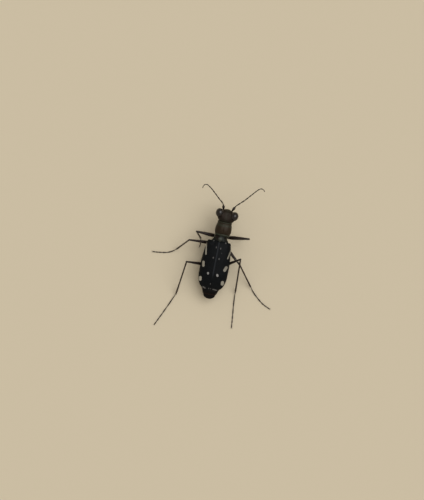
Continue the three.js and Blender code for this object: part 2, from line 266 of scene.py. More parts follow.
# Presses a fine grain into a surface, as real relief
def pressGrain(piece, kind, size, depth, **look):
    grain = bpy.data.textures.new(piece.name + "Grain", kind)
    grain.noise_scale = size
    for setting, value in look.items():
        setattr(grain, setting, value)
    applyModifier(piece, "DISPLACE", texture=grain, texture_coords="LOCAL", strength=depth, mid_level=0.5)


def paintValues(piece, name, values):
    piece.data.attributes.new(name, "FLOAT", "POINT").data.foreach_set("value", values)


# A number for each vertex, from its place in the frame the piece was drawn in
def paintShare(piece, name, shareAt):
    paintValues(piece, name, [float(shareAt(*vertex.co)) for vertex in piece.data.vertices])


# Sets a piece down in metres, smooths it, hangs it on the root and hides the solids it takes the place of
def finishPiece(piece, material, nodes=(), place=standing, crease=50):
    piece.data.materials.clear()
    piece.data.materials.append(material)
    piece.matrix_world = toFrame @ place
    chooseOnly(piece)
    bpy.ops.object.transform_apply(location=True, rotation=True, scale=True)
    bpy.ops.object.shade_smooth_by_angle(angle=math.radians(crease))
    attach(piece, "root")
    if nodes:
        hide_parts(*nodes)
    return piece


# Materials
# Colours are sRGB hex; patterns are drawn on Object coordinates turned to millimetres

def linear(hexText):
    values = [int(hexText[i:i + 2], 16) / 255 for i in (1, 3, 5)]
    return (*[v / 12.92 if v <= 0.04045 else ((v + 0.055) / 1.055) ** 2.4 for v in values], 1.0)


def addNode(owner, kind, settings=None, links=None):
    node = owner.node_tree.nodes.new("ShaderNode" + kind)
    for name, value in (settings or {}).items():
        if isinstance(name, int) or name in node.inputs:
            node.inputs[name].default_value = value
        else:
            setattr(node, name, value)
    for name, source in (links or {}).items():
        owner.node_tree.links.new(source, node.inputs[name])
    return node


socketNames = {"coat": "Coat Weight", "coatRoughness": "Coat Roughness", "ior": "IOR", "metallic": "Metallic",
               "roughness": "Roughness", "specular": "Specular IOR Level"}


# A material with its fixed numbers on the shader, its place in millimetres, and the patterns made from them
class Paint:
    def __init__(self, name, **fixed):
        self.material = bpy.data.materials.new(name)
        self.material.use_nodes = True
        self.shader = self.material.node_tree.nodes["Principled BSDF"]
        for word, value in fixed.items():
            self.shader.inputs[socketNames[word]].default_value = value
        where = self.node("TexCoord").outputs["Object"]
        size = (1 / placing["metresPerMillimetre"],) * 3
        self.place = self.node("Mapping", {"Scale": size}, {"Vector": where}).outputs[0]

    def node(self, kind, settings=None, links=None):
        return addNode(self.material, kind, settings, links)

    def noise(self, perMillimetre, detail=3):
        settings = {"Scale": perMillimetre, "Detail": detail}
        return self.node("TexNoise", settings, {"Vector": self.place}).outputs["Fac"]

    def painted(self, name):
        return self.node("Attribute", {"attribute_name": name}).outputs["Fac"]

    def spread(self, source, low, high, first=0.0, last=1.0):
        settings = {"interpolation_type": "SMOOTHSTEP", "From Min": low, "From Max": high,
                    "To Min": first, "To Max": last}
        return self.node("MapRange", settings, {"Value": source}).outputs[0]

    def combine(self, operation, first, second):
        settings, links = {"operation": operation}, {0: first}
        (settings if isinstance(second, float) else links)[1] = second
        return self.node("Math", settings, links).outputs[0]

    def times(self, first, second):
        return self.combine("MULTIPLY", first, second)

    def mix(self, share, first, second):
        settings, links = {"data_type": "RGBA"}, {0: share}
        for index, colour in ((6, first), (7, second)):
            if isinstance(colour, str):
                settings[index] = linear(colour)
            else:
                links[index] = colour
        return self.node("Mix", settings, links).outputs[2]

    def link(self, source, socket):
        self.material.node_tree.links.new(source, self.shader.inputs[socket])

    # Roughness runs from low to high over a pattern; relief is a pattern, with its height in microns
    def finish(self, colour, pattern, low, high, relief=None, microns=0, strength=1.0):
        self.link(colour, "Base Color")
        self.link(self.spread(pattern, 0.2, 0.8, low, high), "Roughness")
        if relief:
            settings = {"Strength": strength, "Distance": microns * 1e-6}
            self.link(self.node("Bump", settings, {"Height": relief}).outputs[0], "Normal")
        return self.material


# Pitted blue-black chitin, dull from its fine net of cells, with flat cream spots and a painted highlight
# along the suture
def makeWingCaseChitin():
    paint = Paint("pittedBlackChitin", metallic=0.0, ior=1.56, specular=0.065)
    cloud, fine = paint.noise(1.4), paint.noise(38, 2)
    cells = paint.node("TexVoronoi", {"Scale": 8.5, "Randomness": 0.65}, {"Vector": paint.place})
    pits = paint.spread(cells.outputs["Distance"], 0.1, 0.34, 1.0, 0.0)
    ground = paint.mix(cloud, "#070809", "#0e1012")
    ground = paint.mix(paint.times(pits, 0.4), ground, "#16252b")
    # Painted highlight: the suture's raised edge is coloured paler grey, as if it caught the light
    ground = paint.mix(paint.painted("sutureHighlightShare"), ground, "#33363a")
    ragged = paint.times(paint.combine("SUBTRACT", fine, 0.5), 0.5)
    spot = paint.spread(paint.combine("ADD", paint.painted("spotReach"), ragged), -0.1, 0.12)
    grey = paint.mix(cloud, "#9b9894", "#bcb9b7")
    warm = paint.mix(cloud, "#9d9686", "#beb9ac")
    cream = paint.mix(paint.painted("warmShare"), grey, warm)
    colour = paint.mix(paint.times(spot, paint.painted("spotTone")), ground, cream)
    height = paint.combine("SUBTRACT", paint.times(fine, 0.35), pits)
    return paint.finish(colour, fine, 0.46, 0.62, height, 9, 0.8)


# Coppery to olive metallic chitin, satin because it is wrinkled all over
def makeBronzeChitin(name, way, spacing, copper, brown, greens=("#22271f", "#383d31"), specular=0.18):
    paint = Paint(name, metallic=0.35, ior=1.56, specular=specular)
    cloud, fine = paint.noise(1.8), paint.noise(30, 2)
    wave = paint.node("TexWave", {
        "bands_direction": way, "Scale": math.pi / 10 / spacing, "Distortion": 3.5, "Detail": 2.0,
        "Detail Scale": 1.6,
    }, {"Vector": paint.place}).outputs["Fac"]
    patchy = paint.spread(cloud, 0.2, 0.6, 0.7)
    # The painted share mixes in olive: a real tint on the pronotum and head, and on the scutellum a painted
    # highlight
    tint = paint.times(paint.painted("greenTintAndHighlightShare"), patchy)
    colour = paint.mix(tint, paint.mix(cloud, brown, copper), paint.mix(fine, *greens))
    return paint.finish(colour, fine, 0.34, 0.5, paint.combine("ADD", wave, paint.times(fine, 0.5)), 6, 0.6)


# Smooth black-bronze chitin of the underside, with a copper and green gloss
def makeUnderChitin(name, specular):
    paint = Paint(name, metallic=0.35, ior=1.56, specular=specular, coat=0.1, coatRoughness=0.22)
    cloud, fine = paint.noise(1.1), paint.noise(26, 2)
    shell = paint.mix(paint.spread(cloud, 0.35, 0.65), "#211812", "#19201b")
    return paint.finish(paint.mix(fine, shell, "#15110d"), fine, 0.28, 0.44, fine, 5, 0.6)


# Glossy black-brown plates, reddish and thin at the rear rim
def makeAbdomenChitin():
    paint = Paint("blackBrownPlateChitin", metallic=0.0, ior=1.56, specular=0.09, coat=0.03,
                  coatRoughness=0.2)
    fine = paint.noise(24, 2)
    plate = paint.mix(fine, "#040302", "#0b0705")
    colour = paint.mix(paint.painted("rimShare"), plate, "#2a130b")
    return paint.finish(colour, fine, 0.3, 0.46, fine, 5, 0.6)


# Dark compound eye: clear lenses over brown pigment, so it is glossy and a little purple-grey
def makeEyeLens():
    paint = Paint("compoundEyeLens", metallic=0.0, ior=1.48, specular=0.26, coat=0.42, coatRoughness=0.1)
    cloud = paint.noise(2.2)
    return paint.finish(paint.mix(cloud, "#0d0706", "#1a110d"), cloud, 0.2, 0.32, paint.noise(18, 2), 2, 0.4)


# Pale chitin without pigment: ivory, satin, browner at the edges
def makeIvoryChitin():
    paint = Paint("ivoryChitin", metallic=0.0, ior=1.54)
    cloud = paint.noise(5)
    colour = paint.mix(paint.painted("edgeShare"), paint.mix(cloud, "#c3b48c", "#ddd3b4"), "#5b3f25")
    return paint.finish(colour, cloud, 0.32, 0.46, paint.noise(30, 2), 4, 0.5)


# Hard jaw chitin: ivory at the base, red-brown, then black and polished at the teeth
def makeJawChitin():
    paint = Paint("jawChitin", metallic=0.05, ior=1.56, coat=0.3, coatRoughness=0.15)
    share = paint.painted("tipShare")
    base = paint.mix(paint.spread(share, 0.22, 0.4), "#cdbf97", "#5a3018")
    colour = paint.mix(paint.spread(share, 0.42, 0.68), base, "#120b08")
    return paint.finish(colour, paint.noise(14), 0.22, 0.36, paint.noise(24, 2), 4, 0.4)


# Limb chitin: dark brown to black, satin, with a faint copper gleam on the thick joints
def makeLimbChitin(name, dark, light, metallic):
    paint = Paint(name, metallic=metallic, ior=1.56, specular=0.4)
    cloud, fine = paint.noise(2.4), paint.noise(34, 2)
    colour = paint.mix(paint.spread(cloud, 0.3, 0.7), dark, light)
    return paint.finish(colour, fine, 0.34, 0.5, fine, 5, 0.7)


# White hair of the sides and face
def makeSetaWhite():
    paint = Paint("whiteSeta", metallic=0.0, ior=1.54)
    cloud = paint.noise(4)
    return paint.finish(paint.mix(cloud, "#c8bfa8", "#e6e0d0"), cloud, 0.42, 0.56)


wingCaseChitin = makeWingCaseChitin()
pronotumChitin = makeBronzeChitin("wrinkledBronzeChitin", "Y", 0.07, "#2f2011", "#21170e")
headChitin = makeBronzeChitin("striateBronzeChitin", "X", 0.045, "#23160e", "#180f09", specular=0.15)
# The scutellum's lighter grey-greens are a painted highlight
scutellumHighlightChitin = makeBronzeChitin(
    "greyGreenHighlightChitin", "X", 0.05, "#2a261f", "#201f1a", greens=("#3b403a", "#4d5149"), specular=0.19)
underChitin = makeUnderChitin("blackBronzeChitin", 0.3)
waistChitin = makeUnderChitin("dullBronzeChitin", 0.11)
abdomenChitin = makeAbdomenChitin()
eyeLens = makeEyeLens()
ivoryChitin = makeIvoryChitin()
jawChitin = makeJawChitin()
femurChitin = makeLimbChitin("femurChitin", "#130a07", "#21130c", 0.2)
coxaChitin = makeLimbChitin("coxaChitin", "#120d0a", "#1f1712", 0.3)
shinChitin = makeLimbChitin("shinChitin", "#160b06", "#28170c", 0.1)
feelerChitin = makeLimbChitin("feelerChitin", "#150c07", "#22150e", 0.0)
palpChitin = makeLimbChitin("palpChitin", "#5c4128", "#8a6e49", 0.0)
setaWhite = makeSetaWhite()
spineBrown = makeLimbChitin("spineChitin", "#3a2414", "#6a4a2e", 0.0)
print("materials made")


# Elytra: thin domed shields that meet at the suture and turn down at the margin
elytron = {
    "front": -0.01,
    "rear": 6.42,
    "halfWidth": graph((-0.01, 1.33), (0.1, 1.39), (0.25, 1.45), (0.65, 1.55), (1.5, 1.68), (3.2, 1.82),
                       (4.6, 1.8), (5.3, 1.68), (5.85, 1.44), (6.2, 1.09), (6.42, 0.55)),
    "top": graph((-0.01, 0.56), (0.12, 0.68), (0.35, 0.81), (1, 0.95), (2.4, 1.06), (4, 1.06), (5.1, 0.84),
                 (5.8, 0.52), (6.15, 0.3), (6.42, 0.07)),
    "power": 2.25,
    "notch": 0.15,
    "endShare": 0.03,
    "endDepth": 0.075,
    "endSize": 0.74,
    "foldShare": 0.1,
    "foldDrop": 0.15,
    "foldTuck": 0.09,
    "wall": 0.045,
    "gap": 0.008,
    "acrossSteps": 84,
    "alongSteps": 230,
}
# Spots as strokes: from, to, half width and how bright each is, as seen from above
spots = [
    ((0.24, 0.88), (0.24, 0.99), 0.065, 0.15), ((-0.31, 0.92), (-0.33, 1.04), 0.065, 0.175),
    ((0.37, 2.24), (0.37, 2.3), 0.085, 0.18), ((-0.37, 2.26), (-0.38, 2.32), 0.095, 0.14),
    ((-0.54, 1.52), (-0.54, 1.57), 0.055, 0.06), ((0.69, 0.14), (0.73, 0.18), 0.07, 0.14),
    ((-0.8, 0.17), (-0.84, 0.23), 0.07, 0.18),
    ((1.58, 0.6), (1.36, 2.0), 0.085, 0.7), ((-1.66, 0.9), (-1.42, 2.04), 0.085, 0.47),
    ((1.48, 3.02), (1.4, 3.47), 0.15, 0.68), ((-1.46, 3.18), (-1.32, 3.56), 0.175, 0.49),
    ((0.65, 4.27), (0.64, 4.33), 0.125, 0.6), ((-0.53, 4.3), (-0.57, 4.39), 0.13, 0.68),
    ((1.5, 5.0), (1.47, 5.24), 0.175, 0.88), ((-1.35, 5.1), (-1.36, 5.3), 0.19, 0.65),
    ((0.95, 6.08), (0.66, 6.2), 0.072, 0.28), ((-0.34, 6.17), (-0.78, 6.21), 0.072, 0.25),
    ((0.1, 5.52), (0.1, 5.58), 0.05, 0.2), ((0.2, 6.13), (0.2, 6.18), 0.05, 0.25),
    ((-0.03, 6.12), (-0.03, 6.17), 0.05, 0.2),
]


# How far inside the nearest spot's edge a place lies, and how bright that spot is
def nearestSpot(x, y):
    best = (-9.0, 0.0)
    for start, end, radius, bright in spots:
        start, end, here = Vector(start), Vector(end), Vector((x, y))
        way = end - start
        share = clamp((here - start).dot(way) / way.length_squared)
        best = max(best, (1 - (here - start - way * share).length / radius, bright))
    return best


def elytronPoint(side, across, along):
    shape = elytron
    dome = min(1, across / (1 - shape["foldShare"]))
    fold = max(0, (across - 1 + shape["foldShare"]) / shape["foldShare"])
    outward, upward = rim(math.pi / 2 * (1 - dome), shape["power"])
    front = shape["front"] + 0.03 * outward ** 2 + 0.08 * outward ** 6
    front += shape["notch"] * max(0, 1 - outward / 0.2)  # room for the scutellum
    turn = math.pi / 2 * min(1, along / shape["endShare"])  # the front end curls in and closes the shoulder
    front += shape["endDepth"] * (1 - math.cos(turn))
    size = lerp(shape["endSize"], 1, math.sin(turn))
    rest = max(0, (along - shape["endShare"]) / (1 - shape["endShare"]))
    y = lerp(front, shape["rear"] - 0.1 * max(0, 1 - across / 0.3) ** 2, rest)
    y = y + 0.03 * math.sin(math.pi * min(1, across / 0.8)) * along ** 8
    x = max(shape["gap"], size * (outward * shape["halfWidth"](y) - shape["foldTuck"] * fold ** 2))
    z = size * (upward * shape["top"](y) - shape["foldDrop"] * fold ** 0.8 * min(1, 0.3 + y))
    z += 0.07 * hump(x, 1.14, 0.2) * hump(y, 0.5, 0.26)  # the shoulder knob
    z -= 0.05 * hump(x, 0.62, 0.2) * hump(y, 0.42, 0.26)  # the hollow beside it
    z += 0.018 * hump(x, 0.07, 0.05) - 0.02 * hump(x, 0, 0.02)  # the raised suture
    z += 0.012 * math.sin(2.4 * y + 3 * x) * dome * (1 - fold)
    return side * x, y, z


def makeElytron(name, side, node):
    shape = elytron
    shell = startGrid(name, shape["acrossSteps"], shape["alongSteps"])
    for vertex in shell.data.vertices:
        across = (1 + side * vertex.co.x) / 2
        vertex.co = elytronPoint(side, across, (1 + vertex.co.y) / 2)
    applyModifier(shell, "SOLIDIFY", thickness=shape["wall"], offset=-1)
    pressGrain(shell, "CLOUDS", 0.16, 0.007)
    seen = [nearestSpot(*(trunkPlace @ vertex.co).xy) for vertex in shell.data.vertices]
    paintValues(shell, "spotReach", [reach for reach, tone in seen])
    paintValues(shell, "spotTone", [tone for reach, tone in seen])
    # Painted highlight along the suture, fading out towards the rear
    paintShare(shell, "sutureHighlightShare", lambda x, y, z: 0.9 * hump(x, 0, 0.06) * clamp(5 - y))
    paintShare(shell, "warmShare", lambda x, y, z: clamp(5 * abs(x) - 4.2))
    return finishPiece(shell, wingCaseChitin, [node], trunkPlace, 60)


makeElytron("wingCaseLeft", 1, "elytron_left")
makeElytron("wingCaseRight", -1, "elytron_right")
print("elytra made")


# Pronotum: the back plate, with a groove across it near each end and a fine middle line
pronotumShape = {
    "front": -0.98,
    "rear": 0.81,
    "halfWidth": graph((-0.98, 0.87), (-0.87, 0.91), (-0.76, 0.89), (-0.5, 0.96), (-0.1, 1.02), (0.2, 1.04),
                       (0.45, 0.99), (0.58, 0.94), (0.68, 0.94), (0.81, 0.87)),
    "top": graph((-0.98, 0.67), (-0.88, 0.745), (-0.76, 0.705), (-0.5, 0.8), (0, 0.855), (0.4, 0.8),
                 (0.58, 0.7), (0.68, 0.735), (0.81, 0.66)),
    "power": 2.3,
    "lowEdge": -0.2,
    "underDepth": 0.8,
    "wall": 0.05,
}


def makePronotum():
    shape = pronotumShape
    shell = startGrid("backPlate", 110, 96)
    dip = math.asin(-shape["lowEdge"] / shape["underDepth"])
    for vertex in shell.data.vertices:
        turn = math.pi / 2 - vertex.co.x * (math.pi / 2 + dip)
        y = lerp(shape["front"], shape["rear"], (1 + vertex.co.y) / 2)
        across, upward = rim(turn, shape["power"])
        height = shape["top"](y) if upward > 0 else shape["underDepth"]
        x, z = across * shape["halfWidth"](y), upward * height
        z -= 0.035 * hump(x, 0, 0.022) * hump(y, 0, 0.62)  # the middle line
        z -= 0.03 * hump(abs(x), 0.3, 0.14) * hump(y, 0.56, 0.1)  # a dent on each side, in the rear groove
        z += 0.02 * hump(abs(x), 0.36, 0.3) * hump(y, 0, 0.4)  # the two low swellings
        vertex.co = (x, y, z)
    applyModifier(shell, "SOLIDIFY", thickness=shape["wall"], offset=-1)
    pressGrain(shell, "CLOUDS", 0.09, 0.014)
    paintShare(shell, "greenTintAndHighlightShare", lambda x, y, z: min(
        1, 0.12 + hump(y, 0.72, 0.13) + 0.6 * hump(y, -0.55, 0.15) + 0.9 * hump(y, -0.9, 0.05)))
    return finishPiece(shell, pronotumChitin, ["pronotum"], prothoraxPlace, 60)


backPlate = makePronotum()

prosternumShape = {
    "front": -0.93, "rear": 0.8, "frontBlunt": 9, "rearBlunt": 9, "power": 2.3,
    "halfWidth": graph((-0.93, 0.8), (-0.55, 0.86), (0, 0.95), (0.5, 0.9), (0.8, 0.8)),
    "top": graph((-0.93, 0.5), (-0.6, 0.6), (0, 0.74), (0.58, 0.6), (0.8, 0.56)),
    "bottom": graph((-0.93, -0.6), (-0.5, -0.74), (0, -0.82), (0.8, -0.74)),
    "middle": lambda y: -0.1,
}


def makeProsternum():
    body = drawBody("breastPlate", prosternumShape)
    nudge(body, lambda x, y, z: (0, 0, (0.05 * hump(y, -0.52, 0.06) + 0.04 * hump(abs(x), 0.34, 0.05)
                                        + 0.03 * hump(y, 0.5, 0.06)) * (z < -0.2)))
    nudge(body, lambda x, y, z: (inward(x, 0.03 * hump(y - 0.5 * z, 0.2, 0.05)), 0, 0))
    return finishPiece(body, underChitin, ["prosternum"], prothoraxPlace)


breastPlate = makeProsternum()

# Waist: the narrow second ring of the thorax, dark between the back plate and the elytra
mesothoraxShape = {
    "front": -0.72, "rear": 0.14, "frontBlunt": 7, "rearBlunt": 9, "power": 2.3,
    "halfWidth": graph((-0.72, 0.7), (-0.4, 0.82), (-0.15, 0.92), (0.14, 1.12)),
    "top": graph((-0.72, 0.5), (-0.3, 0.57), (0, 0.56), (0.14, 0.5)),
    "bottom": graph((-0.68, -0.64), (-0.3, -0.86), (0.14, -1.18)),
    "middle": lambda y: -0.1,
}


def makeMesothorax():
    body = drawBody("waistRing", mesothoraxShape)
    nudge(body, lambda x, y, z: (
        inward(x, 0.04 * hump(y + 0.25 * z, -0.22, 0.05)),
        0,
        -0.05 * hump(y, -0.5, 0.07) * (z > 0) * (1 - 0.8 * hump(x, 0.03, 0.3))
        + 0.05 * hump(abs(x), 0.2, 0.05) * (z < -0.5),
    ))
    pressGrain(body, "CLOUDS", 0.08, 0.012)
    place = trunkPlace @ Matrix.Translation((placing["waistShift"], 0, 0))
    return finishPiece(body, waistChitin, ["mesothorax"], place)


waistRing = makeMesothorax()

# Scutellum: the small triangular plate between the bases of the elytra
scutellumShape = {
    "halfWidth": 0.26,
    "outline": graph((0, 0.84), (0.2, 0.98), (0.6, 0.76), (1, 0.04)),
    "length": 0.54,
    "crown": 0.045,
    "wall": 0.12,
    "place": (-0.03, -0.4, 0.568),
    "tilt": 0.03,
}


def makeScutellum():
    shape = scutellumShape
    plate = startGrid("scutellumPlate", 16, 22)
    for vertex in plate.data.vertices:
        along = (1 + vertex.co.y) / 2
        arch = 1 - vertex.co.x ** 2
        x = vertex.co.x * shape["halfWidth"] * shape["outline"](along)
        y = shape["length"] * along - 0.06 * arch * (1 - along)
        crown = shape["crown"] * arch * math.sin(math.pi * min(1, 0.2 + along))
        vertex.co = (x, y, crown - 0.02 * arch * hump(along, 0.2, 0.09))
    applyModifier(plate, "SOLIDIFY", thickness=shape["wall"], offset=-1)
    applyModifier(plate, "BEVEL", width=0.012, segments=2, limit_method="ANGLE")
    applyModifier(plate, "SUBSURF", levels=1, render_levels=1)
    # Painted highlight: lighter grey-green gathered at the middle of the plate's front part
    paintShare(plate, "greenTintAndHighlightShare", lambda x, y, z: 0.25 + 0.75 * hump(x, 0, 0.17) * hump(y, 0.1, 0.15))
    place = setIn(trunkPlace, shape["place"], shape["tilt"])
    finishPiece(plate, scutellumHighlightChitin, ["scutellum"], place)


makeScutellum()
print("thorax made")

# Metathorax: the broad breast, with a side plate on each flank; its back fills the dome of the elytra
metathoraxShape = {
    "front": 0.02, "rear": 3.06, "frontBlunt": 10, "rearBlunt": 12, "power": 2.4,
    "halfWidth": graph((0.02, 1.04), (0.6, 1.32), (1.8, 1.5), (3.06, 1.53)),
    "top": graph((0.02, 0.3), (0.35, 0.5), (1, 0.72), (2.4, 0.86), (3.06, 0.88)),
    "bottom": graph((0.02, -1.16), (0.8, -1.4), (2.2, -1.44), (3.06, -1.34)),
    "middle": lambda y: -0.4,
}


def makeMetathorax():
    body = drawBody("hindBreast", metathoraxShape, 72, 84)
    nudge(body, lambda x, y, z: (
        inward(x, 0.05 * hump(z, -0.72 - 0.05 * y, 0.05), 0.6),
        0,
        (z < -0.7) * (0.06 * hump(x, 0, 0.04) * (y > 0.6) + 0.05 * hump(y, 2.2 + 0.25 * abs(x), 0.05)
                      + 0.07 * hump(abs(x), 0.55, 0.25) * hump(y, 0.45, 0.28)),
    ))
    return finishPiece(body, underChitin, ["metathorax"], trunkPlace)


hindBreast = makeMetathorax()

# Flanks: a long side plate under each elytron
flankShape = {
    "route": [(1.16, 0.3, -0.42), (1.4, 1.2, -0.4), (1.5, 2.2, -0.38), (1.5, 2.95, -0.34)],
    "radius": graph((0, 0.12), (0.2, 0.17), (0.8, 0.16), (1, 0.1)),
}


def makeFlankPlate(name, side):
    line = mirrorLine(flankShape["route"], side)
    plate = drawLimb(name, line, flankShape["radius"], sides=20, rings=40, blunt=5, flat=1.5)
    return finishPiece(plate, underChitin, (), trunkPlace)


flankPlates = [makeFlankPlate("flankPlateLeft", 1), makeFlankPlate("flankPlateRight", -1)]

# Abdomen: rings of hard plates, each lapping the next, with the last ones past the elytra
abdomenShape = {
    "front": 2.94,
    "ringRears": [3.72, 4.4, 5.06, 5.72, 6.36, 6.98, 7.58],
    "lap": 0.14,
    "flare": 0.035,
    "halfWidth": graph((2.9, 1.54), (4.6, 1.56), (5.5, 1.4), (6.3, 1.1), (6.6, 0.98), (6.9, 0.84),
                       (7.25, 0.69), (7.58, 0.46)),
    "top": graph((2.9, 0.86), (4.4, 0.8), (5.1, 0.54), (5.7, 0.1), (6.1, -0.01), (6.5, -0.03), (7, -0.16),
                 (7.58, -0.4)),
    "bottom": graph((2.9, -1.34), (4.4, -1.32), (5.6, -1.15), (6.6, -0.9), (7.2, -0.72), (7.58, -0.57)),
    "middle": graph((2.9, -0.42), (7.58, -0.49)),
}


def makeAbdomen():
    shape = abdomenShape
    rings = []
    fronts = [shape["front"]] + shape["ringRears"][:-1]
    for index, (front, rear) in enumerate(zip(fronts, shape["ringRears"])):
        last = rear == shape["ringRears"][-1]
        swell = graph((front - shape["lap"], -0.05), (front + 0.05, -0.012), (rear, shape["flare"]))
        ring = drawBody("plate%d" % index, {
            "front": front - shape["lap"], "rear": rear,
            "frontBlunt": 8, "rearBlunt": 2.6 if last else 16, "power": 2.5,
            "halfWidth": lambda y, s=swell: shape["halfWidth"](y) + s(y),
            "top": lambda y, s=swell: shape["top"](y) + s(y) * 0.8,
            "bottom": lambda y, s=swell: shape["bottom"](y) - s(y),
            "middle": shape["middle"],
        }, 64, 28)
        paintShare(ring, "rimShare", lambda x, y, z, r=rear: hump(y, r, 0.07))
        rings.append(ring)
    whole = joinPieces("abdomenPlates", rings)
    side = shape["middle"]
    nudge(whole, lambda x, y, z: (
        inward(x, 0.045 * hump(z, side(y) + 0.04, 0.035)),
        0,
        -0.03 * hump(abs(x), 1.02, 0.05) * (z < -0.6),
    ))
    return finishPiece(whole, abdomenChitin, ["abdomen"], trunkPlace, 40)


abdomenPlates = makeAbdomen()
print("hind body made")

# Eyes, whose rims the head is shaped round
eyeShape = {"place": (0.94, -1.1, 0.26), "radii": (0.5, 0.57, 0.53), "lensTop": 1.006, "lensFoot": 0.998}

# Head: a broad capsule, hollowed between the eyes, with a steep face
headShape = {
    "front": -1.64, "rear": 0.4, "frontBlunt": 4.2, "rearBlunt": 10, "power": 2.4,
    "halfWidth": graph((-1.64, 0.56), (-1.5, 0.7), (-1.3, 0.8), (-1.05, 0.86), (-0.8, 0.99), (-0.6, 1.06),
                       (-0.42, 1.03), (-0.28, 0.96), (-0.16, 0.85), (-0.05, 0.8), (0.4, 0.72)),
    "top": graph((-1.64, 0.14), (-1.5, 0.42), (-1.34, 0.58), (-1, 0.69), (-0.5, 0.7), (-0.3, 0.67),
                 (-0.16, 0.59), (0, 0.55), (0.4, 0.5)),
    "bottom": graph((-1.64, -0.5), (-1.5, -0.66), (-1.25, -0.76), (-0.8, -0.76), (-0.45, -0.7), (-0.2, -0.59),
                    (0.4, -0.52)),
    "middle": lambda y: -0.02,
    "feelerSocket": (0.58, -1.5, 0.02),
}


def makeHead():
    body = drawBody("headCapsule", headShape, 96, 110)
    eye = Vector(eyeShape["place"])
    socket = Vector(headShape["feelerSocket"])

    def form(x, y, z):
        here = Vector((abs(x), y, z))
        upper = clamp((z - 0.1) / 0.3)
        move = Vector((0, 0, 0))
        move.z -= 0.1 * hump(x, 0, 0.36) * hump(y, -1.08, 0.36) * upper  # the hollow between the eyes
        move.z += 0.07 * hump(abs(x), 0.56, 0.09) * hump(y, -1.1, 0.42) * upper  # the brow beside each eye
        move.y += 0.035 * hump(z, -0.2, 0.025) * (y < -1.2) * hump(x, 0, 0.45)  # the seam over the face plate
        away = (here - eye).length
        move.x += math.copysign(0.08 * hump(away, 0.58, 0.06), x)  # the raised rim round each eye
        near = (here - socket).length
        move.y += 0.09 * hump(near, 0, 0.1) - 0.035 * hump(near, 0.14, 0.045)  # the feeler's socket
        move.z += 0.05 * hump(x, 0, 0.05) * (z < -0.5) * (y > -1.3)  # the seam under the throat
        return move

    nudge(body, form)
    pressGrain(body, "CLOUDS", 0.07, 0.01)
    paintShare(body, "greenTintAndHighlightShare", lambda x, y, z: min(
        1, 0.08 + 0.2 * hump(x, 0, 0.14) + 0.12 * hump(y, -1.5, 0.2) * (z > 0) + 0.3 * hump(y, -0.2, 0.12)))
    finishPiece(body, headChitin, ["head"], headPlace)


makeHead()


# Each eye is a net of lenses 0.02 mm across: every point of an icosphere stands out as one small dome
def makeEye(name, side, node):
    clearSelection()
    bpy.ops.mesh.primitive_ico_sphere_add(subdivisions=6, radius=1)
    eye = nameActive(name)
    lenses = len(eye.data.vertices)
    bpy.ops.object.mode_set(mode="EDIT")
    bpy.ops.mesh.select_all(action="SELECT")
    bpy.ops.mesh.subdivide(number_cuts=1, smoothness=1)
    bpy.ops.object.mode_set(mode="OBJECT")
    centre, radii = eyeShape["place"], eyeShape["radii"]
    for vertex in eye.data.vertices:
        out = vertex.co.normalized() * eyeShape["lensTop" if vertex.index < lenses else "lensFoot"]
        x, y, z = (out[i] * radii[i] for i in range(3))
        y += 0.05 * hump(side * x, -0.1, 0.3) * hump(z, 0.1, 0.3) * (y < 0)  # flatter beside the feeler
        vertex.co = (side * centre[0] + x, centre[1] + y, centre[2] + z)
    finishPiece(eye, eyeLens, [node], headPlace, 70)


makeEye("eyeLensesLeft", 1, "eye_left")
makeEye("eyeLensesRight", -1, "eye_right")

# Mouth parts: face plate, upper lip, jaws and two pairs of palps
faceShape = {"place": (0, -1.585, -0.36), "halfWidth": 0.5, "height": 0.13, "depth": 0.09, "tilt": 0.42}
lipShape = {"place": (0, -1.44, -0.42), "tilt": 1.12, "halfWidth": 0.48, "length": 0.46, "wall": 0.06}
lipPlace = setIn(headPlace, lipShape["place"], lipShape["tilt"])


def makeFacePlate():
    shape = faceShape
    plate = startBall("facePlate", 40, 24)
    for vertex in plate.data.vertices:
        x, y, z = (math.copysign(abs(value) ** 0.6, value) for value in vertex.co)
        bow = 0.12 * x * x
        vertex.co = (x * shape["halfWidth"], y * shape["depth"] + bow, z * shape["height"] + 0.03 * x * x)
    paintShare(plate, "greenTintAndHighlightShare", lambda x, y, z: 0.3)
    place = setIn(headPlace, shape["place"], shape["tilt"])
    finishPiece(plate, headChitin, (), place)


def makeLip():
    shape = lipShape
    lip = startGrid("upperLip", 60, 26)
    front = graph((0, 1.0), (0.1, 0.93), (0.2, 0.83), (0.36, 0.8), (0.44, 0.86), (0.52, 0.79),
                  (0.8, 0.68), (1, 0.5))
    for vertex in lip.data.vertices:
        across, along = vertex.co.x, (1 - vertex.co.y) / 2
        y = -shape["length"] * front(abs(across)) * along
        x = across * shape["halfWidth"] * (1 - 0.1 * along)
        z = 0.12 - 0.1 * across * across - 0.05 * along * along + 0.02 * hump(across, 0, 0.12)
        vertex.co = (x, y, z)
    applyModifier(lip, "SOLIDIFY", thickness=shape["wall"], offset=-1)
    applyModifier(lip, "BEVEL", width=0.012, segments=2, limit_method="ANGLE")

    def edgeAt(x, y, z):
        edge = shape["length"] * front(abs(x) / shape["halfWidth"])
        return min(1, 0.75 * hump(-y, edge, 0.035) + 0.4 * hump(y, 0, 0.04))

    paintShare(lip, "edgeShare", edgeAt)
    finishPiece(lip, ivoryChitin, ["labrum"], lipPlace)


makeFacePlate()
makeLip()

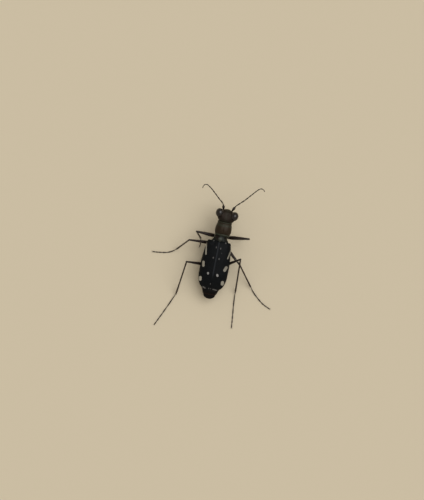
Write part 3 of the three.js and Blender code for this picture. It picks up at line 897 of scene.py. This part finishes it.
# Jaws: curved blades with teeth along the inner edge
jawShape = {
    "route": [(0.42, -1.12, -0.66), (0.54, -1.32, -0.94), (0.48, -1.38, -1.26), (0.25, -1.34, -1.5),
              (-0.06, -1.24, -1.6)],
    "radius": graph((0, 0.17), (0.25, 0.165), (0.5, 0.11), (0.8, 0.06), (1, 0.018)),
    "teeth": [(0.42, 0.2), (0.56, 0.17), (0.7, 0.13)],
    "tooth": graph((0, 0.075), (0.5, 0.05), (1, 0.01)),
    "crossing": 0.07,
}


# Share of a line's length at which a place lies nearest to it
def nearestShare(line, here):
    fine, run = line
    nearest = min(range(len(fine)), key=lambda i: (fine[i] - here).length_squared)
    return run[nearest] / run[-1]


# How far along each point lies is painted on it, for the colour
def makeJaw(name, side, node):
    shift = Vector((0, -side * jawShape["crossing"], 0))  # the left jaw closes in front of the right one
    line = smoothLine([Vector((side * x, y, z)) + shift * min(1, i / 3)
                       for i, (x, y, z) in enumerate(jawShape["route"])])
    blade = drawLimb("jawBlade", line, jawShape["radius"],
                     sides=20, rings=44, blunt=5, flat=0.72, upward=(0, -1, 0.3))
    paintShare(blade, "tipShare", lambda x, y, z: nearestShare(line, Vector((x, y, z))))
    parts = [blade]
    for share, length in jawShape["teeth"]:
        root, way = followLine(line, share)
        bite = (Vector((-side * 0.6, -0.1, -0.55)) - way * 0.1).normalized()
        tooth = smoothLine([root, root + bite * length * 0.6, root + (bite + way * 0.35) * length])
        part = drawLimb("jawTooth", tooth, jawShape["tooth"], sides=10, rings=10, blunt=3)
        paintShare(part, "tipShare", lambda x, y, z, s=share: min(1, s + 0.25))
        parts.append(part)
    finishPiece(joinPieces(name, parts), jawChitin, [node], headPlace)


makeJaw("jawLeft", 1, "mandible_left")
makeJaw("jawRight", -1, "mandible_right")


# Segments along one line, each with its own share, thin at its root and wider at its end
def drawSegments(name, line, cuts, rootRadius, endRadius, rings=12, lap=0.012):
    parts = []
    for index, (start, end) in enumerate(zip(cuts, cuts[1:])):
        first, last = rootRadius[index], endRadius[index]
        radius = graph((0, first * 0.8), (0.2, first), (0.75, last), (0.93, last * 1.04), (1, last * 0.9))
        span = (max(0, start - lap), end)
        parts.append(drawLimb("%s%d" % (name, index), line, radius, span, rings=rings, blunt=5))
    return parts


palpShape = {
    "outer": [(0.36, -0.7, -0.66), (0.52, -0.86, -1.1), (0.5, -0.98, -1.42), (0.4, -1.04, -1.72)],
    "outerCuts": (0, 0.16, 0.5, 0.72, 1),
    "outerRadii": (0.06, 0.065, 0.06, 0.05),
    "inner": [(0.14, -0.9, -0.72), (0.24, -1.06, -1.02), (0.26, -1.2, -1.32), (0.18, -1.32, -1.56)],
    "innerCuts": (0, 0.18, 0.68, 1),
    "innerRadii": (0.06, 0.065, 0.05),
}


def makePalps(label, side, node):
    for kind, nodes in (("outer", [node]), ("inner", ())):
        line = mirrorLine(palpShape[kind], side)
        radii = palpShape[kind + "Radii"]
        parts = drawSegments("palpSegment", line, palpShape[kind + "Cuts"],
                             [radius * 0.7 for radius in radii], [radius * 1.2 for radius in radii])
        piece = joinPieces(kind + "Palp" + label, parts)
        finishPiece(piece, palpChitin, nodes, headPlace)


makePalps("Left", 1, "palp_left")
makePalps("Right", -1, "palp_right")

# The under lip, between the palps, with a notch in its front edge
underLipShape = {
    "route": [(0, -0.5, -0.74), (0, -0.9, -0.82), (0, -1.28, -0.86)],
    "radius": graph((0, 0.24), (0.5, 0.34), (1, 0.2)),
}


def makeUnderLip():
    line = smoothLine(underLipShape["route"])
    plate = drawLimb("underLip", line, underLipShape["radius"], sides=24, rings=20, blunt=3, flat=0.32)
    nudge(plate, lambda x, y, z: (0, 0.09 * hump(x, 0, 0.1) * (y < -1.1), 0))
    finishPiece(plate, underChitin, (), headPlace)


makeUnderLip()
print("head made")

# Feelers: eleven segments each, a thick scape, a tiny pedicel and nine slender ones
feelerShape = {
    "routes": {
        "left": [(0.3, -3.86, 3.58), (0.32, -4.14, 3.76), (0.49, -4.59, 4.05), (1.12, -5.14, 4.45),
                 (2, -5.94, 4.92), (2.47, -6.3, 5.08), (2.81, -6.5, 5.14), (3.09, -6.46, 5.12),
                 (3.28, -6.24, 5.05), (3.32, -5.98, 4.96)],
        "right": [(-0.82, -3.86, 3.58), (-0.94, -4.14, 3.76), (-1.2, -4.58, 4), (-1.53, -4.92, 4.2),
                  (-2.09, -5.45, 4.5), (-2.83, -6.29, 4.95), (-3.44, -6.98, 5.24), (-3.8, -7.24, 5.3),
                  (-4.12, -7.2, 5.28), (-4.34, -6.98, 5.2)],
    },
    "cuts": (0, 0.115, 0.15, 0.29, 0.405, 0.525, 0.61, 0.695, 0.775, 0.85, 0.925, 1),
    "rootRadii": (0.115, 0.066, 0.058, 0.057, 0.056, 0.054, 0.053, 0.052, 0.05, 0.048, 0.043),
    "endRadii": (0.17, 0.092, 0.085, 0.083, 0.08, 0.074, 0.073, 0.071, 0.068, 0.063, 0.053),
    "ball": 0.105,
    "groups": {"scape": (0, 1), "inner": (1, 5), "outer": (5, 11)},
}


def makeFeeler(side, route):
    shape = feelerShape
    line = smoothLine(route)
    for group, (first, last) in shape["groups"].items():
        parts = drawSegments("feelerSegment", line, shape["cuts"][first:last + 1],
                             shape["rootRadii"][first:last], shape["endRadii"][first:last], 16, 0.006)
        if first == 0:
            root, way = followLine(line, 0)
            condyle = smoothLine([root - way * 0.16, root - way * 0.05, root + way * 0.06])
            parts.append(drawLimb("feelerBall", condyle, lambda along: shape["ball"], rings=12, blunt=2.2))
        piece = joinPieces("feeler" + side.title() + group.title(), parts)
        finishPiece(piece, feelerChitin if group == "outer" else femurChitin,
                    ["antenna_%s_%s" % (side, group)])


for feelerSide, feelerRoute in feelerShape["routes"].items():
    makeFeeler(feelerSide, feelerRoute)
print("feelers made")

# Legs, in the standing pose: their joints, and each foot's points over the floor and then along it
legJoints = {
    "front_left": {
        "root": (0.16, -0.98, 2.42), "hip": (0.3, -0.46, 1.76),
        "knee": (3.02, -0.56, 3.34), "ankle": (2.38, 0.18, 1.3),
        "over": [(2.31, 0.46, 0.66), (2.29, 0.84, 0.17)], "along": [(2.31, 1.1), (2.35, 1.3)],
    },
    "front_right": {
        "root": (-0.56, -1, 2.42), "hip": (-0.7, -0.52, 1.76),
        "knee": (-3.57, -0.86, 3.0), "ankle": (-2.1, -0.66, 1.22),
        "over": [(-2.48, -0.7, 0.64), (-2.92, -0.76, 0.17)], "along": [(-3.22, -0.82), (-3.46, -0.86)],
    },
    "mid_left": {
        "root": (0.5, 0.52, 1.85), "hip": (0.58, 0.45, 1.36),
        "knee": (3.75, 0.66, 3.25), "ankle": (5.12, 2.1, 0.36),
        "over": [(5.55, 2.43, 0.14)], "along": [(6.19, 2.72), (7.2, 2.9), (8.14, 2.98)],
    },
    "mid_right": {
        "root": (-0.5, 0.52, 1.85), "hip": (-0.58, 0.36, 1.36),
        "knee": (-3.09, 2.57, 2.22), "ankle": (-4.95, 5, 0.36),
        "over": [(-5.35, 5.5, 0.14)], "along": [(-5.9, 6.06), (-6.9, 6.84), (-8, 7.34)],
    },
    "hind_left": {
        "root": (0.72, 2.72, 1.58), "hip": (0.62, 3.24, 1.16),
        "knee": (3.55, 3.39, 3.5), "ankle": (4.11, 7.64, 0.36),
        "over": [(4.36, 8.2, 0.14)], "along": [(4.75, 9.1), (5.45, 10.65), (6.16, 12.16)],
    },
    "hind_right": {
        "root": (-0.72, 2.72, 1.58), "hip": (-0.62, 3.32, 1.16),
        "knee": (-3.01, 1.83, 3.6), "ankle": (-3.18, 6.06, 0.36),
        "over": [(-3.21, 6.7, 0.14)], "along": [(-3.27, 7.6), (-3.42, 9), (-3.59, 10.74)],
    },
}
legShape = {
    "coxa": {
        "front": graph((0, 0.3), (0.35, 0.29), (0.75, 0.21), (1, 0.15)),
        "mid": graph((0, 0.31), (0.5, 0.27), (1, 0.16)),
        "hind": graph((0, 0.36), (0.5, 0.3), (1, 0.16)),
    },
    "coxaDepth": {"front": 0.22, "mid": 0.16, "hind": 0.1},
    "coxaFlat": {"front": 0.9, "mid": 0.95, "hind": 0.7},
    "trochanter": graph((0, 0.1), (0.5, 0.14), (1, 0.1)),
    "femur": graph((0, 0.115), (0.1, 0.176), (0.26, 0.21), (0.6, 0.168), (0.9, 0.121), (1, 0.116)),
    "frontFemur": graph((0, 0.125), (0.1, 0.205), (0.26, 0.245), (0.6, 0.196), (0.9, 0.132), (1, 0.122)),
    "tibia": graph((0, 0.085), (0.05, 0.102), (0.16, 0.092), (0.6, 0.092), (0.94, 0.108), (1, 0.09)),
    "footCuts": (0, 0.38, 0.58, 0.72, 0.83, 0.95),
    "footRadii": (0.076, 0.075, 0.074, 0.072, 0.069),
    "footMiddle": 0.08,
    "thighBow": 0.05,
    "shinBow": -0.02,
    "kneeShare": 0.98,
    "spur": {"length": 0.26, "radius": 0.018, "spread": 0.45},
    "claw": {"length": 0.26, "radius": 0.02, "spread": 0.42},
}


def titleOf(place):
    return "".join(word.title() for word in place.split("_"))


def bowedLine(start, end, bow):
    start, end = Vector(start), Vector(end)
    return smoothLine([start, (start + end) / 2 + Vector((0, 0, bow)), end])


# A pointed claw or spur, bent towards the floor
def drawClaw(start, way, length, radius, droop):
    middle = start + way * length * 0.55
    tip = start + way * length * 0.92 - Vector((0, 0, droop))
    line = smoothLine([start, middle, tip])
    taper = graph((0, radius), (0.5, radius * 0.75), (1, radius * 0.12))
    return drawLimb("claw", line, taper, sides=8, rings=10, blunt=3)


def makeLeg(place, joints):
    shape = legShape
    title = titleOf(place)
    hip, knee, ankle = (Vector(joints[key]) for key in ("hip", "knee", "ankle"))
    thigh = (knee - hip).normalized()
    pair = place.split("_")[0]
    root = Vector(joints["root"])
    deep = root + (root - hip).normalized() * shape["coxaDepth"][pair]
    coxaLine = smoothLine([deep, (root + hip) / 2, hip])
    coxa = drawLimb("coxaBase", coxaLine, shape["coxa"][pair], sides=24, rings=24,
                    flat=shape["coxaFlat"][pair])
    joint = smoothLine([hip - thigh * 0.1, hip + thigh * 0.12, hip + thigh * 0.34])
    trochanter = drawLimb("trochanter", joint, shape["trochanter"], sides=18, rings=14, blunt=3)
    finishPiece(joinPieces("coxa" + title, [coxa, trochanter]), coxaChitin, [place + "_coxa"])

    thighLine = bowedLine(hip + thigh * 0.12, knee, shape["thighBow"])
    radius = shape["frontFemur"] if pair == "front" else shape["femur"]
    femur = drawLimb("thigh", thighLine, radius, sides=18, rings=36, blunt=9)
    shin = (ankle - knee).normalized()
    cap = startBall("kneeCap", 18, 14)
    for vertex in cap.data.vertices:
        vertex.co = knee + vertex.co * radius(1) * shape["kneeShare"]
    finishPiece(joinPieces("femur" + title, [femur, cap]), femurChitin, [place + "_femur"])

    shinLine = bowedLine(knee, ankle, shape["shinBow"])
    tibia = drawLimb("shin", shinLine, shape["tibia"], sides=14, rings=40, blunt=11)
    floorPoints = [(x, y, shape["footMiddle"]) for x, y in joints["along"]]
    footLine = smoothLine([ankle, *joints["over"], *floorPoints])
    onward = followLine(footLine, 0.06)[1]
    sideways = shin.cross(Vector((0, 0, 1))).normalized()
    spur = shape["spur"]
    spurs = [drawClaw(ankle - shin * 0.05 + sideways * turn * 0.05,
                      (shin * 0.75 + onward * 0.5 + sideways * turn * spur["spread"]).normalized(),
                      spur["length"], spur["radius"], 0.0) for turn in (-1, 1)]
    finishPiece(joinPieces("tibia" + title, [tibia, *spurs]), shinChitin, [place + "_tibia"])

    radii = shape["footRadii"]
    foot = drawSegments("footSegment", footLine, shape["footCuts"],
                        [radius * 0.62 for radius in radii], radii, 14, 0.01)
    end, way = followLine(footLine, shape["footCuts"][-1] - 0.01)
    flatWay = Vector((way.x, way.y, 0)).normalized()
    wing = flatWay.cross(Vector((0, 0, 1)))
    claw = shape["claw"]
    drop = end.z - 0.012  # the points come down just over the floor
    claws = [drawClaw(end + wing * turn * 0.014, (flatWay + wing * turn * claw["spread"]).normalized(),
                      claw["length"], claw["radius"], drop) for turn in (-1, 1)]
    finishPiece(joinPieces("foot" + title, foot + claws), shinChitin, [place + "_tarsus"])
    return {"thigh": thighLine, "thighRadius": radius, "shin": shinLine, "foot": footLine}


legLines = {place: makeLeg(place, joints) for place, joints in legJoints.items()}
print("legs made")


# Setae and spines: one bent hair is modelled once, then copied to each root
def modelSeta():
    clearSelection()
    bpy.ops.mesh.primitive_cone_add(vertices=4, radius1=1, radius2=0.14, depth=1, location=(0, 0, 0.5))
    hair = bpy.context.object
    bpy.ops.object.transform_apply(location=True)
    for height in (0.33, 0.66):
        bpy.ops.object.mode_set(mode="EDIT")
        bpy.ops.mesh.select_all(action="SELECT")
        bpy.ops.mesh.bisect(plane_co=(0, 0, height), plane_no=(0, 0, 1))
        bpy.ops.object.mode_set(mode="OBJECT")
    corners = [vertex.co.copy() for vertex in hair.data.vertices]
    sheets = [list(face.vertices) for face in hair.data.polygons]
    bpy.data.objects.remove(hair)
    return corners, sheets


hairCorners, hairSheets = modelSeta()
patchSize = 0.003  # of one hair on its skin's unwrap


# Each root is (point, way out, bend, length, thickness, place on the skin's own unwrap)
def plantHairs(name, roots, material):
    places, sheets, patches = [], [], []
    for point, way, bend, length, thick, (u, v) in roots:
        first = len(places)
        side = way.cross(bend)
        side = side.normalized() if side.length > 1e-6 else way.orthogonal().normalized()
        over = way.cross(side)
        for x, y, z in hairCorners:
            across = (side * x + over * y) * thick
            places.append(point + across + way * (z * length) + bend * (z * z * length))
            patches.append((u + x * patchSize / 2, v + (z - 0.5 + 0.1 * y) * patchSize))
        sheets.extend([first + corner for corner in sheet] for sheet in hairSheets)
    mesh = bpy.data.meshes.new(name)
    mesh.from_pydata([tuple(p) for p in places], [], sheets)
    unwrap = mesh.uv_layers.new(name="OFBake")
    for loop in mesh.loops:
        unwrap.data[loop.index].uv = patches[loop.vertex_index]
    coat = bpy.data.objects.new(name, mesh)
    bpy.context.scene.collection.objects.link(coat)
    finishPiece(coat, material)


# Even random roots over a finished skin, kept where a function of the place and the normal says so
def scatterRoots(skin, place, tries, wanted):
    away = (toFrame @ place).inverted()
    toDrawn = toFrame.inverted()
    mesh = skin.data
    mesh.calc_loop_triangles()
    triangles = list(mesh.loop_triangles)
    corners = [[mesh.vertices[i].co for i in triangle.vertices] for triangle in triangles]
    picks = random.choices(range(len(triangles)), [triangle.area for triangle in triangles], k=tries)
    roots = []
    for pick in picks:
        a, b, c = corners[pick]
        u, v = random.random(), random.random()
        if u + v > 1:
            u, v = 1 - u, 1 - v
        here = a + (b - a) * u + (c - a) * v
        normal = triangles[pick].normal
        local = away @ here
        localNormal = (away.to_3x3() @ normal).normalized()
        if random.random() < wanted(local, localNormal):
            roots.append((toDrawn @ here, normal.copy(), local))
    return roots


# Lying hair: it leaves the shell at a low angle, and its lie to the rear and the floor wanders a little
def layCoat(name, skin, place, tries, wanted, length):
    turn = place.to_3x3()
    roots = []
    for point, normal, local in scatterRoots(skin, place, tries, wanted):
        sway = noise.noise_vector(point * coatShape["swayPerMillimetre"]) * coatShape["sway"]
        way = turn @ Vector(coatShape["lie"]) + sway
        way = (way - normal * way.dot(normal)).normalized()
        way = way + Vector([random.uniform(-1, 1) * coatShape["stray"] for _ in range(3)])
        out = (way + normal * coatShape["lift"] * random.uniform(0.5, 1.5)).normalized()
        size = length * random.uniform(0.7, 1.25)
        u = 0.5 + 0.48 * math.atan2(local.z, local.x) / math.pi
        v = 0.5 + 0.06 * local.y
        roots.append((point, out, -normal * coatShape["curl"] + way * 0.05, size, coatShape["thick"], (u, v)))
    print("  %s: %d hairs" % (name, len(roots)))
    plantHairs(name, roots, setaWhite)


def onPronotumSide(local, normal):
    return 0.9 * hump(local.z, -0.16, 0.13) * (abs(local.x) > 0.6)


def onBreastSide(local, normal):
    return (abs(normal.x) > 0.35) * (local.z < -0.14) * 0.9


def onHindBreast(local, normal):
    thinning = clamp(3.5 - 1.1 * local.y, 0.3)
    return (abs(normal.x) > 0.2) * (local.z < -0.35) * (0.9 - 0.5 * (abs(local.x) < 0.9)) * thinning


def onFlank(local, normal):
    thinning = clamp(3.5 - 1.1 * local.y, 0.35)
    return 0.95 * (abs(normal.x) > 0.1) * (normal.x * local.x > 0) * thinning


def onAbdomen(local, normal):
    thinning = clamp(1.6 - 0.22 * local.y, 0.25)
    return hump(local.z, -0.75, 0.35) * (abs(local.x) > 0.4) * thinning


coatShape = {
    "lie": (0, 1, -0.35),
    "sway": 0.55,
    "swayPerMillimetre": 0.9,
    "stray": 0.12,
    "lift": 0.2,
    "curl": 0.12,
    "thick": 0.003,
}
# Name, skin, its place, tries, where it grows and length
coatPatches = [
    ("hairPronotumSides", backPlate, prothoraxPlace, 6000, onPronotumSide, 0.13),
    ("hairBreast", breastPlate, prothoraxPlace, 4000, onBreastSide, 0.18),
    ("hairWaist", waistRing, trunkPlace, 2300, onBreastSide, 0.17),
    ("hairHindBreast", hindBreast, trunkPlace, 8600, onHindBreast, 0.19),
    ("hairFlankLeft", flankPlates[0], trunkPlace, 1700, onFlank, 0.18),
    ("hairFlankRight", flankPlates[1], trunkPlace, 1700, onFlank, 0.18),
    ("hairAbdomen", abdomenPlates, trunkPlace, 6600, onAbdomen, 0.14),
]
for coatPatch in coatPatches:
    layCoat(*coatPatch)
print("coat laid")


# Rows of bristles on the legs: angles round the limb, count in a row, length, thickness and lean
bristleShape = {
    "thigh": ((0.5, 2.6, -0.7, -2.4), 15, 0.16, 0.0065, 0.7),
    "shin": ((0.3, 1.5, 2.8, -0.9, -2.2), 16, 0.12, 0.008, 1.1),
    "foot": ((0.2, 2.9), 1, 0.1, 0.007, 1.4),
    "footRadius": 0.045,
    "stray": 0.12,
}


# Bristles of a leg: pale hairs on the femur, spines down the tibia and at each joint of the foot
def makeLegBristles(place, lines):
    shape = bristleShape
    title = titleOf(place)
    roots = []

    def addRow(line, radius, shares, turn, length, thick, slant):
        for share in shares:
            share = share + random.uniform(-0.012, 0.012)
            point, way = followLine(line, share)
            side = way.cross(Vector((0, 0, 1))).normalized()
            out = side * math.cos(turn) + side.cross(way) * math.sin(turn)
            size = radius(share) if callable(radius) else radius
            stray = Vector([random.uniform(-shape["stray"], shape["stray"]) for _ in range(3)])
            lean = (out + way * slant + stray).normalized()
            patch = (0.05 + 0.9 * share, 0.5 + 0.14 * turn)
            root = point + out * size * 0.85
            roots.append((root, lean, way * 0.12, length * random.uniform(0.8, 1.2), thick, patch))

    def evenShares(count, start=0.06, end=0.95):
        return [lerp(start, end, (i + 0.5) / count) for i in range(count)]

    turns, count, *look = shape["thigh"]
    for turn in turns:
        addRow(lines["thigh"], lines["thighRadius"], evenShares(count), turn, *look)
    plantHairs("bristlesFemur" + title, roots, setaWhite)
    roots.clear()
    turns, count, *look = shape["shin"]
    for turn in turns:
        addRow(lines["shin"], legShape["tibia"], evenShares(count), turn, *look)
    turns, count, *look = shape["foot"]
    for joint in legShape["footCuts"][1:-1]:
        for turn in turns:
            addRow(lines["foot"], shape["footRadius"], [joint - 0.006], turn, *look)
    plantHairs("spines" + title, roots, spineBrown)


for legName, lines in legLines.items():
    makeLegBristles(legName, lines)

# Face: two long hairs over each eye, a fringe on the lip, and finer ones on the palps
faceHairShape = {
    "browRoots": ((-1.32, 0.6), (-0.86, 0.7)),
    "browAcross": 0.56,
    "browLength": 0.5,
    "browThick": 0.0055,
    "fringeSteps": 4,
    "fringeAcross": 0.46,
    "fringeLength": 0.26,
    "fringeThick": 0.0065,
    "palpHairs": 26,
    "palpReach": 0.05,
    "palpLengths": (0.12, 0.2),
    "palpThick": 0.005,
}


def makeFaceHairs():
    shape = faceHairShape
    turn = headPlace.to_3x3()
    roots = []
    for side in (-1, 1):
        for y, z in shape["browRoots"]:
            roots.append((headPlace @ Vector((side * shape["browAcross"], y, z)),
                          turn @ Vector((side * 0.25, -0.15, 0.95)), turn @ Vector((side * 0.15, -0.1, 0)),
                          shape["browLength"], shape["browThick"], (0.5 + side * 0.2, 0.6 + 0.1 * y)))
    plantHairs("hairBrow", roots, spineBrown)
    roots.clear()
    lipTurn = lipPlace.to_3x3()
    steps = shape["fringeSteps"]
    for step in (*range(-steps, 0), *range(1, steps + 1)):
        across = step / (steps + 0.6)
        root = Vector((across * shape["fringeAcross"], -0.3 + 0.05 * abs(across), 0.1))
        roots.append((lipPlace @ root, lipTurn @ Vector((0.1 * across, -0.9, 0.35)),
                      lipTurn @ Vector((0, 0, -0.2)), shape["fringeLength"], shape["fringeThick"],
                      (0.5 + 0.2 * across, 0.2)))
    for side in (-1, 1):
        for kind in ("outer", "inner"):
            line = mirrorLine(palpShape[kind], side)
            for _ in range(shape["palpHairs"]):
                share = random.uniform(0.1, 0.94)
                point, way = followLine(line, share)
                angle = random.uniform(0, 2 * math.pi)
                wing = way.orthogonal().normalized()
                out = wing * math.cos(angle) + way.cross(wing) * math.sin(angle)
                patch = (0.5 + 0.3 * side + 0.1 * share, 0.1 + 0.01 * angle)
                length = random.uniform(*shape["palpLengths"])
                roots.append((headPlace @ (point + out * shape["palpReach"]),
                              turn @ (out + way * 0.8).normalized(), turn @ (way * 0.1), length,
                              shape["palpThick"], patch))
    plantHairs("hairFace", roots, setaWhite)


makeFaceHairs()
print("bristles set")

# Stage: a plain pale floor, soft light from above, and the camera looking down as in the photograph
stageShape = {
    "floorSize": 6.0,
    "floorColour": "#cbbfa7",
    "skyColour": "#e6e1d7",
    "skyStrength": 0.6,
    "skySeen": "#cdc0a5",
    "keyWay": (-0.19, -0.14, 0.55),
    "keyStrength": 1.75,
    "keyWidth": 55,
}


def makeFloor():
    clearSelection()
    bpy.ops.mesh.primitive_plane_add(size=stageShape["floorSize"], location=(0, 0, 0))
    floor = bpy.context.object
    floor.name = "paleFloor"
    paint = Paint("paleMattPaint", metallic=0.0, roughness=0.9)
    paint.shader.inputs["Base Color"].default_value = linear(stageShape["floorColour"])
    floor.data.materials.append(paint.material)


# A broad soft light from one side, wide enough that its shadows have no hard edge
def addSoftLight(name):
    shape = stageShape
    clearSelection()
    bpy.ops.object.light_add(type="SUN", location=Vector(shape["keyWay"]))
    lamp = bpy.context.object
    lamp.name = name
    lamp.data.energy = shape["keyStrength"]
    lamp.data.angle = math.radians(shape["keyWidth"])
    lamp.rotation_mode = "QUATERNION"
    lamp.rotation_quaternion = Vector(shape["keyWay"]).to_track_quat("Z", "Y")


# An even sky that lights from all round; the camera sees it in the floor's own tone
def makeSky():
    world = bpy.data.worlds.new("softSky")
    bpy.context.scene.world = world
    world.use_nodes = True
    soft = world.node_tree.nodes["Background"]
    soft.inputs["Color"].default_value = linear(stageShape["skyColour"])
    soft.inputs["Strength"].default_value = stageShape["skyStrength"]
    seen = addNode(world, "Background", {"Color": linear(stageShape["skySeen"])})
    straight = addNode(world, "LightPath").outputs["Is Camera Ray"]
    mixed = addNode(world, "MixShader", None, {0: straight, 1: soft.outputs[0], 2: seen.outputs[0]})
    world.node_tree.links.new(mixed.outputs[0], world.node_tree.nodes["World Output"].inputs["Surface"])


cameraShape = {
    "metresPerPixel": 0.000126,
    "frameHeight": 500,
    "distance": 0.35,
    "aim": (0.000635, -0.00112, 0.0),
    "turn": 11,
    "sensor": 36.0,
}


def makeCamera():
    shape = cameraShape
    clearSelection()
    aim = Vector(shape["aim"])
    bpy.ops.object.camera_add(location=aim + Vector((0, 0, shape["distance"])))
    camera = bpy.context.object
    half = shape["metresPerPixel"] * shape["frameHeight"] / 2
    camera.data.sensor_width = shape["sensor"]
    camera.data.lens = shape["sensor"] / 2 * shape["distance"] / half
    camera.data.clip_start = 0.01
    camera.rotation_euler = (0, 0, math.radians(180 + shape["turn"]))
    bpy.context.scene.camera = camera


makeFloor()
addSoftLight("softKey")
makeSky()
bpy.context.scene.view_settings.view_transform = "Standard"
makeCamera()
print("stage set")
